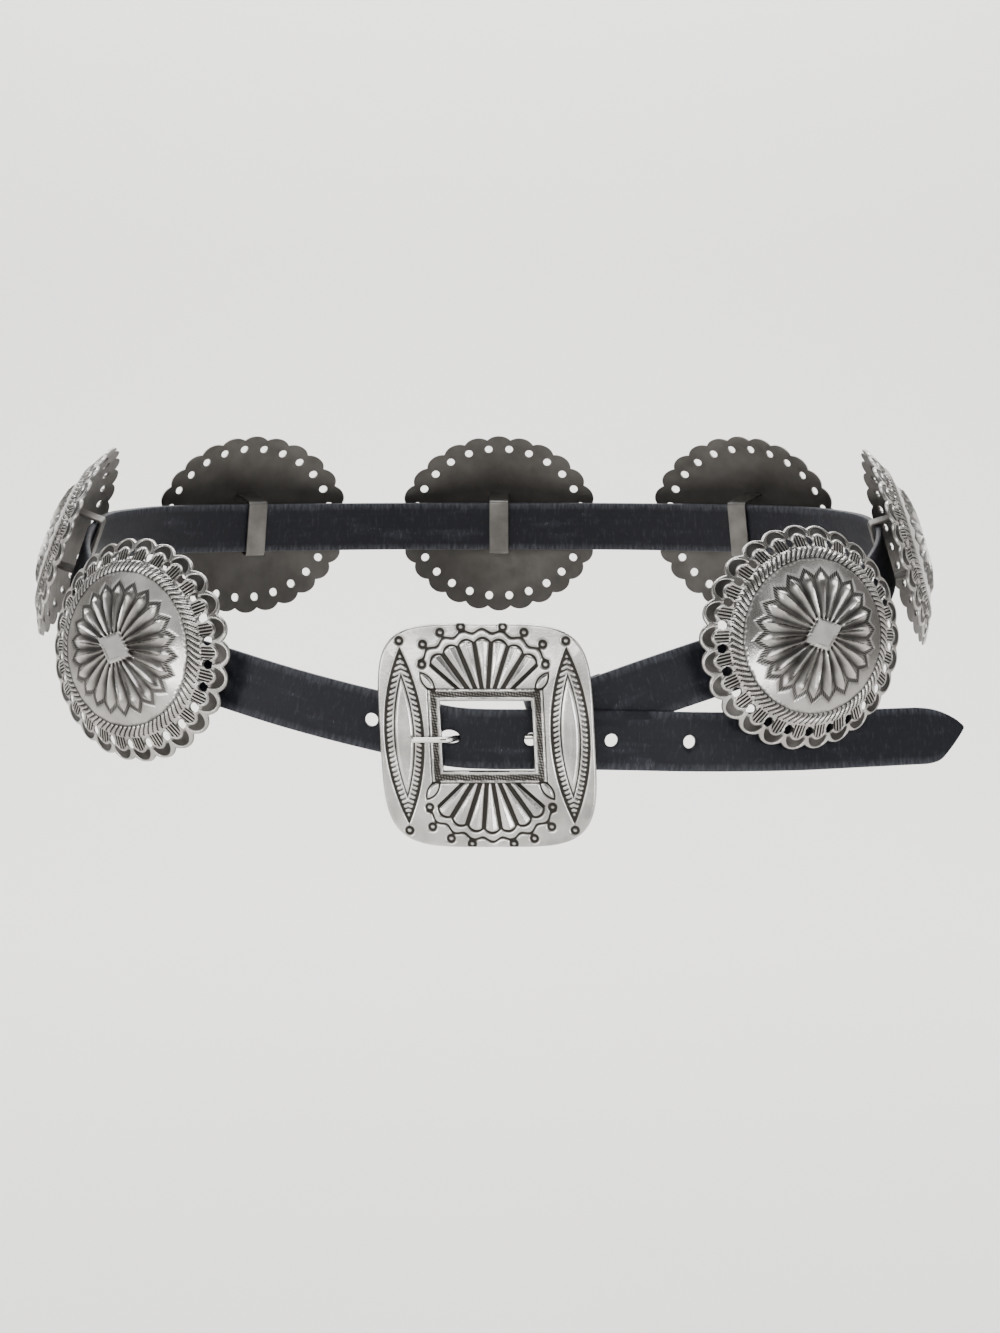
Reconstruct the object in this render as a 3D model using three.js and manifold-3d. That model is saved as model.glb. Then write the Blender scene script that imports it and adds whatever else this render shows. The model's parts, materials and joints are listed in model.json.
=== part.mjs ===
// A concho belt in its worn form: one leather strap that runs once round the hips,
// seven domed silver conchos threaded on it, and a square plate buckle with its tongue.
// Millimetres, +Z up, front towards -Y. The origin is the middle of the loop, level with
// the middle of the buckle.

import * as THREE from 'three';
import { ConvexGeometry } from 'three/addons/geometries/ConvexGeometry.js';
import { mergeVertices } from 'three/addons/utils/BufferGeometryUtils.js';
import Module from 'manifold-3d';

const wasm = await Module();
wasm.setup();

// Loop of the worn belt, measured to the middle of the leather.
const loopHalfWidth = 166;
const loopHalfDepth = 116;
const loopSquareness = 2.3;
const sideRise = 66;
const tailStraight = 73;
const tailStandOff = 7;

// Leather strap.
const strapWidth = 22.2;
const strapThickness = 2.5;
const layerGap = 0.35;
const holeDiameter = 5;
const holePitch = 29.8;
const wornHoleLength = 7.4;
const pointLength = 20;
const foldLength = 26;
const foldTaper = 8;
const innerLayerClear = 34;
const slotRoom = 8;
const strapSegments = 73;

// Conchos.
const conchoLength = 94;
const conchoHeight = 84;
const conchoDome = 12;
const conchoSheet = 1.2;
const conchoBend = 1.5;
const rimStandOff = 5;
const scallopCount = 26;
const petalCount = 22;
const piercingDiameter = 3.6;
const padLength = 18;
const padHeight = 12.7;
const ropeHeight = 0.7;
const petalHeight = 1.1;
const petalValley = 0.1;
const loopStripWidth = 9;
const loopStripThickness = 1.2;
const loopClearance = 0.65;

// Buckle.
const buckleX = 2.4;
const plateWidth = 79;
const plateHeight = 83;
const plateThickness = 1.8;
const plateEdge = 0.5;
const plateSquareness = 4.5;
const plateLean = 3;
const windowWidth = 33.4;
const windowHeight = 25.8;
const bandWidth = 3.8;
const bandHeight = 0.5;
const fanRadius = 27.8;
const fanCentre = 7.8;
const fluteCount = 7;
const flutePitch = 13.4;
const fluteHeight = 0.9;
const fluteGap = 0.4;
const leafOffset = 30.5;
const leafLength = 42.4;
const leafWidth = 6.4;
const leafHeight = 0.6;
const borderLength = 65.2;
const borderWidth = 14.4;
const borderDepth = 0.4;
const barDiameter = 3;
const barOffset = 21;
const barMiddle = 0.8;
const postSpread = 32;
const postSolder = 0.6;
const tongueDiameter = 2.4;
const tongueClearance = 0.35;
const barClearance = 0.65;
const tongueSides = 7;
const tongueSteps = 20;
const tongueRise = -1.1;
const tongueHole = -13.7;
const tongueTip = -28;
const reliefSink = 0.2;

// Rivet that closes the fold of the strap behind the buckle.
const rivetShank = 4;
const rivetHead = 7;
const rivetHeadHeight = 0.9;
const rivetPlace = 12.5;

const layerPitch = strapThickness + layerGap;
const foldRadius = barDiameter / 2 + barClearance + strapThickness / 2;
const eyeRadius = barDiameter / 2 + barClearance + tongueDiameter / 2;
const plateBack = -(strapThickness / 2 + layerGap);
const plateFront = plateBack - plateThickness;

// How the strap hangs. turn: degrees round the loop from the buckle, by the wearer's left
// hip and the back to 360 at the buckle again, then on along the free tail. rise: share of
// sideRise. lean: degrees that the face looks upwards. under: share of one layer of leather
// that it lies inside the loop. out: share of tailStandOff that it lies outside.
const hang = [
  { turn: turnAt(buckleX + barOffset), rise: 0.048, lean: 0, under: 1, out: 0 },
  { turn: turnAt(buckleX + innerLayerClear), rise: 0.112, lean: 0, under: 1, out: 0 },
  { turn: 18.1, rise: 0.232, lean: 2, under: 1, out: 0 },
  { turn: 28.0, rise: 0.356, lean: 6, under: 0.5, out: 0 },
  { turn: 43.3, rise: 0.506, lean: 10.4, under: 0, out: 0 },
  { turn: 65, rise: 0.74, lean: 14, under: 0, out: 0 },
  { turn: 87.2, rise: 0.948, lean: 17.8, under: 0, out: 0 },
  { turn: 112, rise: 1.01, lean: 16, under: 0, out: 0 },
  { turn: 145, rise: 1.02, lean: 12, under: 0, out: 0 },
  { turn: 180, rise: 1.02, lean: 10, under: 0, out: 0 },
  { turn: 215, rise: 1.02, lean: 12, under: 0, out: 0 },
  { turn: 246, rise: 1.02, lean: 17, under: 0, out: 0 },
  { turn: 268.6, rise: 0.968, lean: 22.1, under: 0, out: 0 },
  { turn: 291, rise: 0.70, lean: 14, under: 0, out: 0 },
  { turn: 311.8, rise: 0.426, lean: 8.1, under: 0, out: 0 },
  { turn: 327.4, rise: 0.300, lean: 5, under: 0, out: 0 },
  { turn: 338.3, rise: 0.190, lean: 3, under: 0, out: 0 },
  { turn: 347.5, rise: 0.095, lean: 1, under: 0, out: 0 },
  { turn: 360 + turnAt(buckleX - windowWidth * 0.68), rise: 0.018, lean: 0, under: 0, out: 0 },
  { turn: 360 + turnAt(buckleX - windowWidth * 0.46), rise: -0.005, lean: 0, under: 0, out: 0 },
  { turn: 360 + turnAt(buckleX - windowWidth * 0.26), rise: -0.016, lean: 0, under: 0, out: 0.11 },
  { turn: 360 + turnAt(buckleX), rise: -0.021, lean: 0, under: 0, out: 0.16 },
  { turn: 360 + turnAt(buckleX + windowWidth * 0.26), rise: -0.023, lean: 0, under: 0, out: 0.11 },
  { turn: 360 + turnAt(buckleX + windowWidth * 0.46), rise: -0.025, lean: 0, under: 0, out: 0 },
  { turn: 360 + turnAt(buckleX + windowWidth * 0.68), rise: -0.028, lean: 0, under: 0, out: 0 },
  { turn: 372.0, rise: -0.033, lean: 0, under: 0, out: 0 },
  { turn: 386.0, rise: -0.058, lean: 4, under: 0, out: 0.2 },
  { turn: 396.0, rise: -0.070, lean: 8, under: 0, out: 0.7 },
  { turn: 403.3, rise: -0.080, lean: 11, under: 0, out: 1 },
];
const tailEndRise = -0.106;
const tailEndLean = 14;

// Turns of the loop at which the conchos of the front and the sides sit. The others share
// the way round the back evenly, and only these four have the round piercings cut.
const leftHipTurns = [43.3, 87.2];
const rightHipTurns = [268.6, 311.8];
const backConchos = 3;

const silver = new THREE.MeshStandardMaterial({ color: 0x9a9792, roughness: 0.34, metalness: 1 });
const polished = new THREE.MeshStandardMaterial({ color: 0xb4b2ad, roughness: 0.24, metalness: 1 });
const wire = new THREE.MeshStandardMaterial({ color: 0xcfcac2, roughness: 0.2, metalness: 1 });
const leather = new THREE.MeshStandardMaterial({ color: 0x15161c, roughness: 0.5, metalness: 0 });
const brass = new THREE.MeshStandardMaterial({ color: 0x8c8374, roughness: 0.4, metalness: 1 });

// Turn of the loop, in degrees, at a sideways distance x from its middle.
function turnAt(x) {
  const share = Math.pow(Math.abs(x) / loopHalfWidth, loopSquareness / 2);
  return THREE.MathUtils.radToDeg(Math.asin(share)) * Math.sign(x);
}

// A point of the level loop, and its outward direction, at a turn in degrees.
function loopAt(turn) {
  const angle = THREE.MathUtils.degToRad(turn);
  const bend = 2 / loopSquareness;
  const wide = Math.sign(Math.sin(angle)) * Math.pow(Math.abs(Math.sin(angle)), bend);
  const deep = -Math.sign(Math.cos(angle)) * Math.pow(Math.abs(Math.cos(angle)), bend);
  const steep = loopSquareness - 1;
  const outward = new THREE.Vector3(
    Math.sign(wide) * Math.pow(Math.abs(wide), steep) / loopHalfWidth,
    Math.sign(deep) * Math.pow(Math.abs(deep), steep) / loopHalfDepth,
    0,
  ).normalize();
  return { point: new THREE.Vector3(wide * loopHalfWidth, deep * loopHalfDepth, 0), outward };
}

// One column of the table above as a smooth function of the turn.
function column(name) {
  const turns = hang.map((row) => row.turn);
  const values = hang.map((row) => row[name]);
  const curve = new THREE.CubicInterpolant(turns, values, 1);
  return (turn) => curve.evaluate(turn)[0];
}

const riseAt = column('rise');
const leanAt = column('lean');
const underAt = column('under');
const outAt = column('out');
const firstTurn = hang[0].turn;
const lastTurn = hang[hang.length - 1].turn;

// Middle line of the leather at a turn, with the way that its face looks.
function routeAt(turn) {
  const { point, outward } = loopAt(turn);
  const shift = outAt(turn) * tailStandOff - underAt(turn) * layerPitch;
  point.addScaledVector(outward, shift);
  point.z = riseAt(turn) * sideRise;
  return { point, outward, lean: leanAt(turn) };
}

// The whole route as closely spaced samples with their distance along the leather.
function sampleRoute() {
  const samples = [];
  const steps = 1600;
  for (let i = 0; i <= steps; i += 1) {
    const turn = firstTurn + (lastTurn - firstTurn) * i / steps;
    samples.push({ turn, ...routeAt(turn) });
  }
  const last = samples[steps];
  const way = last.point.clone().sub(samples[steps - 4].point).setZ(0).normalize();
  const straightSteps = 40;
  for (let i = 1; i <= straightSteps; i += 1) {
    const share = i / straightSteps;
    const point = last.point.clone().addScaledVector(way, tailStraight * share);
    point.z = sideRise * THREE.MathUtils.lerp(riseAt(lastTurn), tailEndRise, share);
    const lean = THREE.MathUtils.lerp(last.lean, tailEndLean, share);
    samples.push({ turn: lastTurn + share, point, outward: last.outward, lean });
  }
  let along = 0;
  samples.forEach((sample, i) => {
    if (i > 0) along += sample.point.distanceTo(samples[i - 1].point);
    sample.along = along;
  });
  return samples;
}

const route = sampleRoute();
const routeLength = route[route.length - 1].along;

// The sample just past a distance along the leather, and the share of the way to it.
function routeSpan(along) {
  const wanted = THREE.MathUtils.clamp(along, 0, routeLength);
  const next = Math.max(1, route.findIndex((sample) => sample.along >= wanted));
  const a = route[next - 1];
  const b = route[next];
  return { a, b, share: (wanted - a.along) / (b.along - a.along) };
}

function pointAlong(along) {
  const { a, b, share } = routeSpan(along);
  return a.point.clone().lerp(b.point, share);
}

// Distance along the leather at a turn of the loop.
function alongAtTurn(turn) {
  const next = route.findIndex((sample) => sample.turn >= turn);
  const a = route[next - 1];
  const b = route[next];
  return THREE.MathUtils.mapLinear(turn, a.turn, b.turn, a.along, b.along);
}

// Frame of the leather at a distance along it: tangent, across its width, face outwards.
function frameAlong(along) {
  const { a, b, share } = routeSpan(along);
  const outward = a.outward.clone().lerp(b.outward, share).normalize();
  const lean = THREE.MathUtils.degToRad(THREE.MathUtils.lerp(a.lean, b.lean, share));
  const step = 0.8;
  const tangent = pointAlong(along + step).sub(pointAlong(along - step)).normalize();
  const looks = outward.multiplyScalar(Math.cos(lean)).setZ(Math.sin(lean));
  const across = looks.cross(tangent).normalize();
  const face = tangent.clone().cross(across).normalize();
  return { point: pointAlong(along), tangent, across, face };
}

// A closed geometry with its shared corners merged, as a solid that can be cut and joined.
function solidOf(geometry) {
  const plain = geometry.clone();
  plain.deleteAttribute('normal');
  plain.deleteAttribute('uv');
  const merged = mergeVertices(plain, 1e-4);
  return new wasm.Manifold(new wasm.Mesh({
    numProp: 3,
    vertProperties: merged.attributes.position.array,
    triVerts: new Uint32Array(merged.index.array),
  }));
}

function geometryOf(solid) {
  const mesh = solid.getMesh();
  const geometry = new THREE.BufferGeometry();
  geometry.setAttribute('position', new THREE.BufferAttribute(mesh.vertProperties, 3));
  geometry.setIndex(new THREE.BufferAttribute(mesh.triVerts, 1));
  geometry.computeVertexNormals();
  return geometry;
}

function namedMesh(name, geometry, material) {
  const mesh = new THREE.Mesh(geometry, material);
  mesh.name = name;
  return mesh;
}

// Triangles between an outer and an inner ring of corners. Both run the same way round and
// each corner carries its angle, so that the next corner is always the nearer one.
function zip(outer, inner, faces, flip) {
  const full = 2 * Math.PI;
  const start = outer[0].angle;
  const ahead = (angle) => ((angle - start) % full + full) % full;
  const first = inner.reduce((best, corner, i) => (
    ahead(corner.angle) < ahead(inner[best].angle) ? i : best), 0);
  const innerAt = (i) => inner[(first + i) % inner.length];
  const outerAt = (i) => outer[i % outer.length];
  let o = 0;
  let n = 0;
  while (o < outer.length || n < inner.length) {
    const nextOuter = o + 1 < outer.length ? ahead(outerAt(o + 1).angle) : full;
    const nextInner = n < inner.length
      ? (n + 1 < inner.length ? ahead(innerAt(n + 1).angle) : full + ahead(innerAt(0).angle))
      : Infinity;
    const takeOuter = o < outer.length && (n >= inner.length || nextOuter <= nextInner);
    const third = takeOuter ? outerAt(o + 1) : innerAt(n + 1);
    const face = [outerAt(o).id, third.id, innerAt(n).id];
    faces.push(flip ? face.reverse() : face);
    if (takeOuter) o += 1;
    else n += 1;
  }
}

// Collects corners and faces of a hand-made closed mesh.
function meshMaker() {
  const corners = [];
  const faces = [];
  return {
    faces,
    corner(point, angle) {
      corners.push(point.x, point.y, point.z);
      return { id: corners.length / 3 - 1, angle };
    },
    geometry() {
      const geometry = new THREE.BufferGeometry();
      geometry.setAttribute('position', new THREE.BufferAttribute(new Float32Array(corners), 3));
      geometry.setIndex(faces.flat());
      return geometry;
    },
  };
}

// Height of the plain domed sheet over the middle of the leather, at a share of the radius.
function domeAt(share) {
  return rimStandOff + conchoDome * (1 - Math.pow(share, 1.85));
}

// A corner of the concho: x along the strap, y across it, z outwards from the wearer.
function conchoPoint(share, angle, lift) {
  const x = share * conchoLength / 2 * Math.cos(angle);
  const y = share * conchoHeight / 2 * Math.sin(angle);
  const bend = conchoBend * Math.pow(x / (conchoLength / 2), 2);
  return new THREE.Vector3(x, y, domeAt(share) + lift - bend);
}

// Shares of the concho's radius at which its ornament changes.
const ornament = {
  notch: 0.955,
  piercing: 0.845,
  ropeOut: 0.79,
  ropeTop: 0.74,
  ropeIn: 0.69,
  petalTip: 0.62,
  petalNotch: 0.54,
  petalMiddle: 0.4,
  hollow: 0.42,
};

function conchoShell(pierced) {
  const maker = meshMaker();
  const pitch = 2 * Math.PI / scallopCount;
  const ring = (count, share, lift, offset = 0) => Array.from({ length: count }, (_, i) => {
    const angle = (i + offset) * 2 * Math.PI / count;
    return maker.corner(conchoPoint(share(i), angle, lift(i)), angle);
  });

  // Scalloped edge: two shoulders and a notch for each scallop, on both faces of the sheet.
  const edge = (lift) => ring(
    3 * scallopCount,
    (i) => (i % 3 === 0 ? ornament.notch : 1),
    () => lift,
  );
  const arches = (lift) => ring(scallopCount, () => ornament.ropeOut, () => lift, 0.5);
  const sides = [
    { edge: edge(0), arches: arches(0), lift: 0, flip: false },
    { edge: edge(-conchoSheet), arches: arches(-conchoSheet), lift: -conchoSheet, flip: true },
  ];

  // One piercing at each notch, in the cell between two arches.
  const holeRing = (notchAngle, lift) => Array.from({ length: 6 }, (_, i) => {
    const angle = (i + 0.5) * Math.PI / 3;
    const middle = new THREE.Vector2(
      ornament.piercing * conchoLength / 2 * Math.cos(notchAngle),
      ornament.piercing * conchoHeight / 2 * Math.sin(notchAngle),
    );
    const x = middle.x + piercingDiameter / 2 * Math.cos(notchAngle + angle);
    const y = middle.y + piercingDiameter / 2 * Math.sin(notchAngle + angle);
    const share = Math.hypot(x / (conchoLength / 2), y / (conchoHeight / 2));
    const turned = Math.atan2(y / conchoHeight, x / conchoLength);
    return maker.corner(conchoPoint(share, turned, lift), notchAngle + angle);
  });

  sides.forEach((side) => {
    side.holes = [];
    for (let i = 0; i < scallopCount; i += 1) {
      const before = side.arches[(i + scallopCount - 1) % scallopCount];
      const after = side.arches[i];
      const left = side.edge[(3 * i + 3 * scallopCount - 1) % (3 * scallopCount)];
      const notch = side.edge[3 * i];
      const right = side.edge[3 * i + 1];
      const far = side.edge[3 * i + 2];
      const put = (a, b, c) => maker.faces.push(side.flip ? [c, b, a] : [a, b, c]);
      put(after.id, right.id, far.id);
      if (pierced) {
        const notchAngle = i * pitch;
        const cell = [
          { id: right.id, angle: notchAngle + 0.25 * Math.PI },
          { id: after.id, angle: notchAngle + 0.75 * Math.PI },
          { id: before.id, angle: notchAngle + 1.25 * Math.PI },
          { id: left.id, angle: notchAngle + 1.75 * Math.PI },
          { id: notch.id, angle: notchAngle + 2 * Math.PI },
        ];
        const hole = holeRing(notchAngle, side.lift);
        side.holes.push(hole);
        zip(cell, hole, maker.faces, side.flip);
      } else {
        put(before.id, left.id, notch.id);
        put(before.id, notch.id, after.id);
        put(after.id, notch.id, right.id);
      }
    }
  });

  const [top, under] = sides;
  const wall = (upper, lower, flip) => upper.forEach((corner, i) => {
    const next = (i + 1) % upper.length;
    const quad = [
      [lower[i].id, lower[next].id, upper[next].id],
      [lower[i].id, upper[next].id, corner.id],
    ];
    quad.forEach((face) => maker.faces.push(flip ? face.reverse() : face));
  });
  wall(top.edge, under.edge, false);
  top.holes.forEach((hole, i) => wall(hole, under.holes[i], true));

  // Raised rope, petals with a ridge each, and the flat diamond in the middle.
  const even = (i) => i % 2 === 0;
  const ropeTop = ring(petalCount, () => ornament.ropeTop, () => ropeHeight);
  const ropeIn = ring(petalCount, () => ornament.ropeIn, () => 0);
  const tips = ring(
    2 * petalCount,
    (i) => (even(i) ? ornament.petalTip : ornament.petalNotch),
    () => 0,
  );
  const middles = ring(
    2 * petalCount,
    () => ornament.petalMiddle,
    (i) => (even(i) ? petalHeight : -petalValley),
  );
  const pad = Array.from({ length: petalCount }, (_, i) => {
    const angle = i * 2 * Math.PI / petalCount;
    const cos = Math.cos(angle);
    const sin = Math.sin(angle);
    const reach = 1 / (Math.abs(cos) / (padLength / 2) + Math.abs(sin) / (padHeight / 2));
    const point = new THREE.Vector3(reach * cos, reach * sin, domeAt(0));
    return maker.corner(point, angle);
  });
  zip(top.arches, ropeTop, maker.faces, false);
  zip(ropeTop, ropeIn, maker.faces, false);
  zip(ropeIn, tips, maker.faces, false);
  zip(tips, middles, maker.faces, false);
  zip(middles, pad, maker.faces, false);
  for (let i = 1; i + 1 < pad.length; i += 1) {
    maker.faces.push([pad[0].id, pad[i].id, pad[i + 1].id]);
  }

  // The hollow back of the sheet.
  const hollow = ring(scallopCount / 2, () => ornament.hollow, () => -conchoSheet);
  zip(under.arches, hollow, maker.faces, true);
  const crown = maker.corner(conchoPoint(0, 0, -conchoSheet), 0);
  hollow.forEach((corner, i) => {
    maker.faces.push([hollow[(i + 1) % hollow.length].id, corner.id, crown.id]);
  });
  return solidOf(maker.geometry());
}

// The strip soldered to the back of a concho, bent round behind the strap.
function backLoop() {
  const inside = strapWidth / 2 + loopClearance;
  const outside = inside + loopStripThickness;
  const behind = -(strapThickness / 2 + loopClearance);
  const solder = domeAt(2 * outside / conchoHeight) - conchoSheet / 2;
  const profile = new THREE.Shape();
  profile.moveTo(-outside, solder);
  profile.lineTo(-outside, behind - loopStripThickness);
  profile.lineTo(outside, behind - loopStripThickness);
  profile.lineTo(outside, solder);
  profile.lineTo(inside, solder);
  profile.lineTo(inside, behind);
  profile.lineTo(-inside, behind);
  profile.lineTo(-inside, solder);
  profile.closePath();
  const strip = new THREE.ExtrudeGeometry(profile, {
    depth: loopStripWidth,
    bevelEnabled: false,
  });
  const turn = new THREE.Matrix4().makeBasis(
    new THREE.Vector3(0, 1, 0),
    new THREE.Vector3(0, 0, 1),
    new THREE.Vector3(1, 0, 0),
  );
  strip.applyMatrix4(turn).translate(-loopStripWidth / 2, 0, 0);
  return solidOf(strip);
}

// Places of all the conchos along the leather, from the buckle by the left hip and back.
function conchoPlaces() {
  const left = leftHipTurns.map(alongAtTurn);
  const right = rightHipTurns.map(alongAtTurn);
  const back = Array.from({ length: backConchos }, (_, i) => (
    THREE.MathUtils.lerp(left[1], right[0], (i + 1) / (backConchos + 1))));
  const places = [...left, ...back, ...right];
  return places.map((along) => ({ along, pierced: !back.includes(along) }));
}

function makeConcho({ along, pierced }, index) {
  const solid = conchoShell(pierced).add(backLoop());
  const concho = namedMesh(`concho_${index + 1}`, geometryOf(solid), silver);
  const { point, tangent, across, face } = frameAlong(along);
  concho.position.copy(point);
  concho.setRotationFromMatrix(new THREE.Matrix4().makeBasis(tangent, across, face));
  return concho;
}

// Half width of the leather above and below its middle, near the pointed end.
// back: share of pointLength from the tip. up and down: shares of half the width.
const tipShape = [
  { back: 1, up: 1, down: 1 },
  { back: 0.68, up: 0.93, down: 1 },
  { back: 0.36, up: 0.72, down: 0.5 },
  { back: 0.14, up: 0.5, down: 0.1 },
  { back: 0, up: 0.3, down: -0.16 },
];

// Stations of the leather from the short end of the fold, round the bar and round the
// wearer to the tip. Each has its place, its across and face directions and half widths.
function strapStations() {
  const stations = [];
  const put = (frame, inward, up = 1, down = 1) => stations.push({
    point: frame.point.clone().addScaledVector(frame.face, -inward),
    across: frame.across,
    face: frame.face,
    up,
    down,
  });

  const start = frameAlong(0);
  const foldSteps = 6;
  for (let i = 0; i < foldSteps; i += 1) {
    const along = THREE.MathUtils.lerp(foldLength, foldTaper, i / (foldSteps - 1));
    put(frameAlong(along), layerPitch);
  }
  const taperSteps = 4;
  for (let i = 1; i < taperSteps; i += 1) {
    const share = i / taperSteps;
    const ease = share * share * (3 - 2 * share);
    const inward = THREE.MathUtils.lerp(layerPitch, 2 * foldRadius, ease);
    put(frameAlong(foldTaper * (1 - share)), inward);
  }
  const inside = stations.length;
  const bendSteps = 8;
  for (let i = 0; i < bendSteps; i += 1) {
    const angle = Math.PI * i / bendSteps;
    const axis = start.point.clone().addScaledVector(start.face, -foldRadius);
    const reach = start.tangent.clone().multiplyScalar(-Math.sin(angle));
    reach.addScaledVector(start.face, -Math.cos(angle));
    stations.push({
      point: axis.addScaledVector(reach, foldRadius),
      across: start.across,
      face: reach.clone(),
      up: 1,
      down: 1,
    });
  }
  // On the inner side of the fold the leather's own face looks at the wearer.
  stations.slice(0, inside).forEach((station) => {
    station.face = station.face.clone().negate();
  });

  const straight = routeLength - pointLength;
  for (let i = 0; i < strapSegments; i += 1) {
    put(frameAlong(straight * i / strapSegments), 0);
  }
  tipShape.forEach((row) => {
    put(frameAlong(routeLength - row.back * pointLength), 0, row.up, row.down);
  });
  return stations;
}

function ribbonSolid(stations) {
  const maker = meshMaker();
  const half = strapThickness / 2;
  const rings = stations.map(({ point, across, face, up, down }) => [
    { wide: -down, thick: half },
    { wide: up, thick: half },
    { wide: up, thick: -half },
    { wide: -down, thick: -half },
  ].map(({ wide, thick }) => {
    const corner = point.clone().addScaledVector(across, wide * strapWidth / 2);
    return maker.corner(corner.addScaledVector(face, thick)).id;
  }));
  for (let s = 0; s + 1 < rings.length; s += 1) {
    for (let i = 0; i < 4; i += 1) {
      const next = (i + 1) % 4;
      maker.faces.push([rings[s][i], rings[s + 1][i], rings[s + 1][next]]);
      maker.faces.push([rings[s][i], rings[s + 1][next], rings[s][next]]);
    }
  }
  const first = rings[0];
  const last = rings[rings.length - 1];
  maker.faces.push([first[0], first[1], first[2]], [first[0], first[2], first[3]]);
  maker.faces.push([last[0], last[2], last[1]], [last[0], last[3], last[2]]);
  return solidOf(maker.geometry());
}

// A round or stretched hole's cutter through the leather at a distance along it.
function holeCutter(along, length, width, depth) {
  const { point, tangent, across, face } = frameAlong(along);
  const cutter = new THREE.CylinderGeometry(width / 2, width / 2, depth, 10);
  cutter.rotateX(Math.PI / 2).scale(length / width, 1, 1);
  cutter.applyMatrix4(new THREE.Matrix4().makeBasis(tangent, across, face));
  return solidOf(cutter.translate(point.x, point.y, point.z));
}

// The bar's middle line runs inside the bend of the fold, in the buckle's own places.
function barLine() {
  const { point, across, face } = frameAlong(0);
  const middle = point.addScaledVector(face, -foldRadius).sub(buckle.position);
  const at = (height) => middle.clone().addScaledVector(across, (height - middle.z) / across.z);
  return { at, across };
}

// Middle line of the tongue in the buckle's own places: from the ring on the bar, behind
// the strap, up through its hole and over the near side of the window to the tip.
function tongueCurve() {
  const wide = tongueDiameter;
  const radius = wide / 2;
  const eye = barLine().at(tongueRise);
  const restDepth = plateFront - Math.max(bandHeight, leafHeight) - layerGap - radius;
  const behind = layerGap + radius;
  const edge = -windowWidth / 2;
  const points = [
    { x: eye.x, y: eye.y - eyeRadius },
    { x: eye.x - 2.5 * wide, y: eye.y - eyeRadius },
    { x: tongueHole + 3.75 * wide, y: behind + wide / 3 },
    { x: tongueHole + 1.9 * wide, y: behind },
    { x: tongueHole + 0.8 * wide, y: -0.4 * wide },
    { x: tongueHole - 0.1 * wide, y: restDepth + 0.4 * wide },
    { x: edge - 0.25 * wide, y: restDepth },
    { x: (edge + tongueTip - wide) / 2, y: restDepth },
    { x: tongueTip, y: restDepth },
  ].map(({ x, y }) => new THREE.Vector3(x, y, tongueRise));
  return new THREE.CatmullRomCurve3(points, false, 'centripetal');
}

// The tongue's round wire, or the wider room that it needs through the leather.
function tongueWire(diameter) {
  const section = new THREE.Shape();
  for (let i = 0; i < tongueSides; i += 1) {
    const angle = 2 * Math.PI * i / tongueSides;
    const x = diameter / 2 * Math.cos(angle);
    const y = diameter / 2 * Math.sin(angle);
    if (i === 0) section.moveTo(x, y);
    else section.lineTo(x, y);
  }
  section.closePath();
  return new THREE.ExtrudeGeometry(section, {
    steps: tongueSteps,
    extrudePath: tongueCurve(),
    bevelEnabled: false,
  });
}

function makeTongue() {
  const shank = solidOf(tongueWire(tongueDiameter));
  const ring = new THREE.TorusGeometry(eyeRadius, tongueDiameter / 2, 6, 10);
  const eye = barLine().at(tongueRise);
  ring.translate(eye.x, eye.y, eye.z);
  return namedMesh('buckle_tongue', geometryOf(shank.add(solidOf(ring))), wire);
}

// The superellipse outline of the plate, with the window as a hole.
function plateOutline() {
  const outline = new THREE.Shape();
  const steps = 44;
  const bend = 2 / plateSquareness;
  for (let i = 0; i < steps; i += 1) {
    const angle = 2 * Math.PI * i / steps;
    const c = Math.cos(angle);
    const s = Math.sin(angle);
    const x = Math.sign(c) * Math.pow(Math.abs(c), bend) * (plateWidth / 2 - plateEdge);
    const y = Math.sign(s) * Math.pow(Math.abs(s), bend) * (plateHeight / 2 - plateEdge);
    if (i === 0) outline.moveTo(x, y);
    else outline.lineTo(x, y);
  }
  outline.closePath();
  return outline;
}

function rectangle(width, height) {
  const shape = new THREE.Shape();
  shape.moveTo(-width / 2, -height / 2);
  shape.lineTo(width / 2, -height / 2);
  shape.lineTo(width / 2, height / 2);
  shape.lineTo(-width / 2, height / 2);
  shape.closePath();
  return shape;
}

// A pointed leaf standing upright at a sideways place, from two equal arcs.
function leafShape(middle, length, width) {
  const halfLength = length / 2;
  const radius = (halfLength * halfLength + width * width / 4) / width;
  const shape = new THREE.Shape();
  const sweep = Math.asin(halfLength / radius);
  shape.absarc(middle + width / 2 - radius, 0, radius, -sweep, sweep, false);
  shape.absarc(middle - width / 2 + radius, 0, radius, Math.PI - sweep, Math.PI + sweep, false);
  shape.closePath();
  return shape;
}

// A flat shape drawn on the plate becomes a solid between two depths, front to the viewer.
function plateSolid(shape, front, back, options = {}) {
  const geometry = new THREE.ExtrudeGeometry(shape, {
    depth: back - front,
    bevelEnabled: false,
    curveSegments: 7,
    ...options,
  });
  geometry.rotateX(Math.PI / 2).translate(0, back, 0);
  return solidOf(geometry);
}

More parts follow.
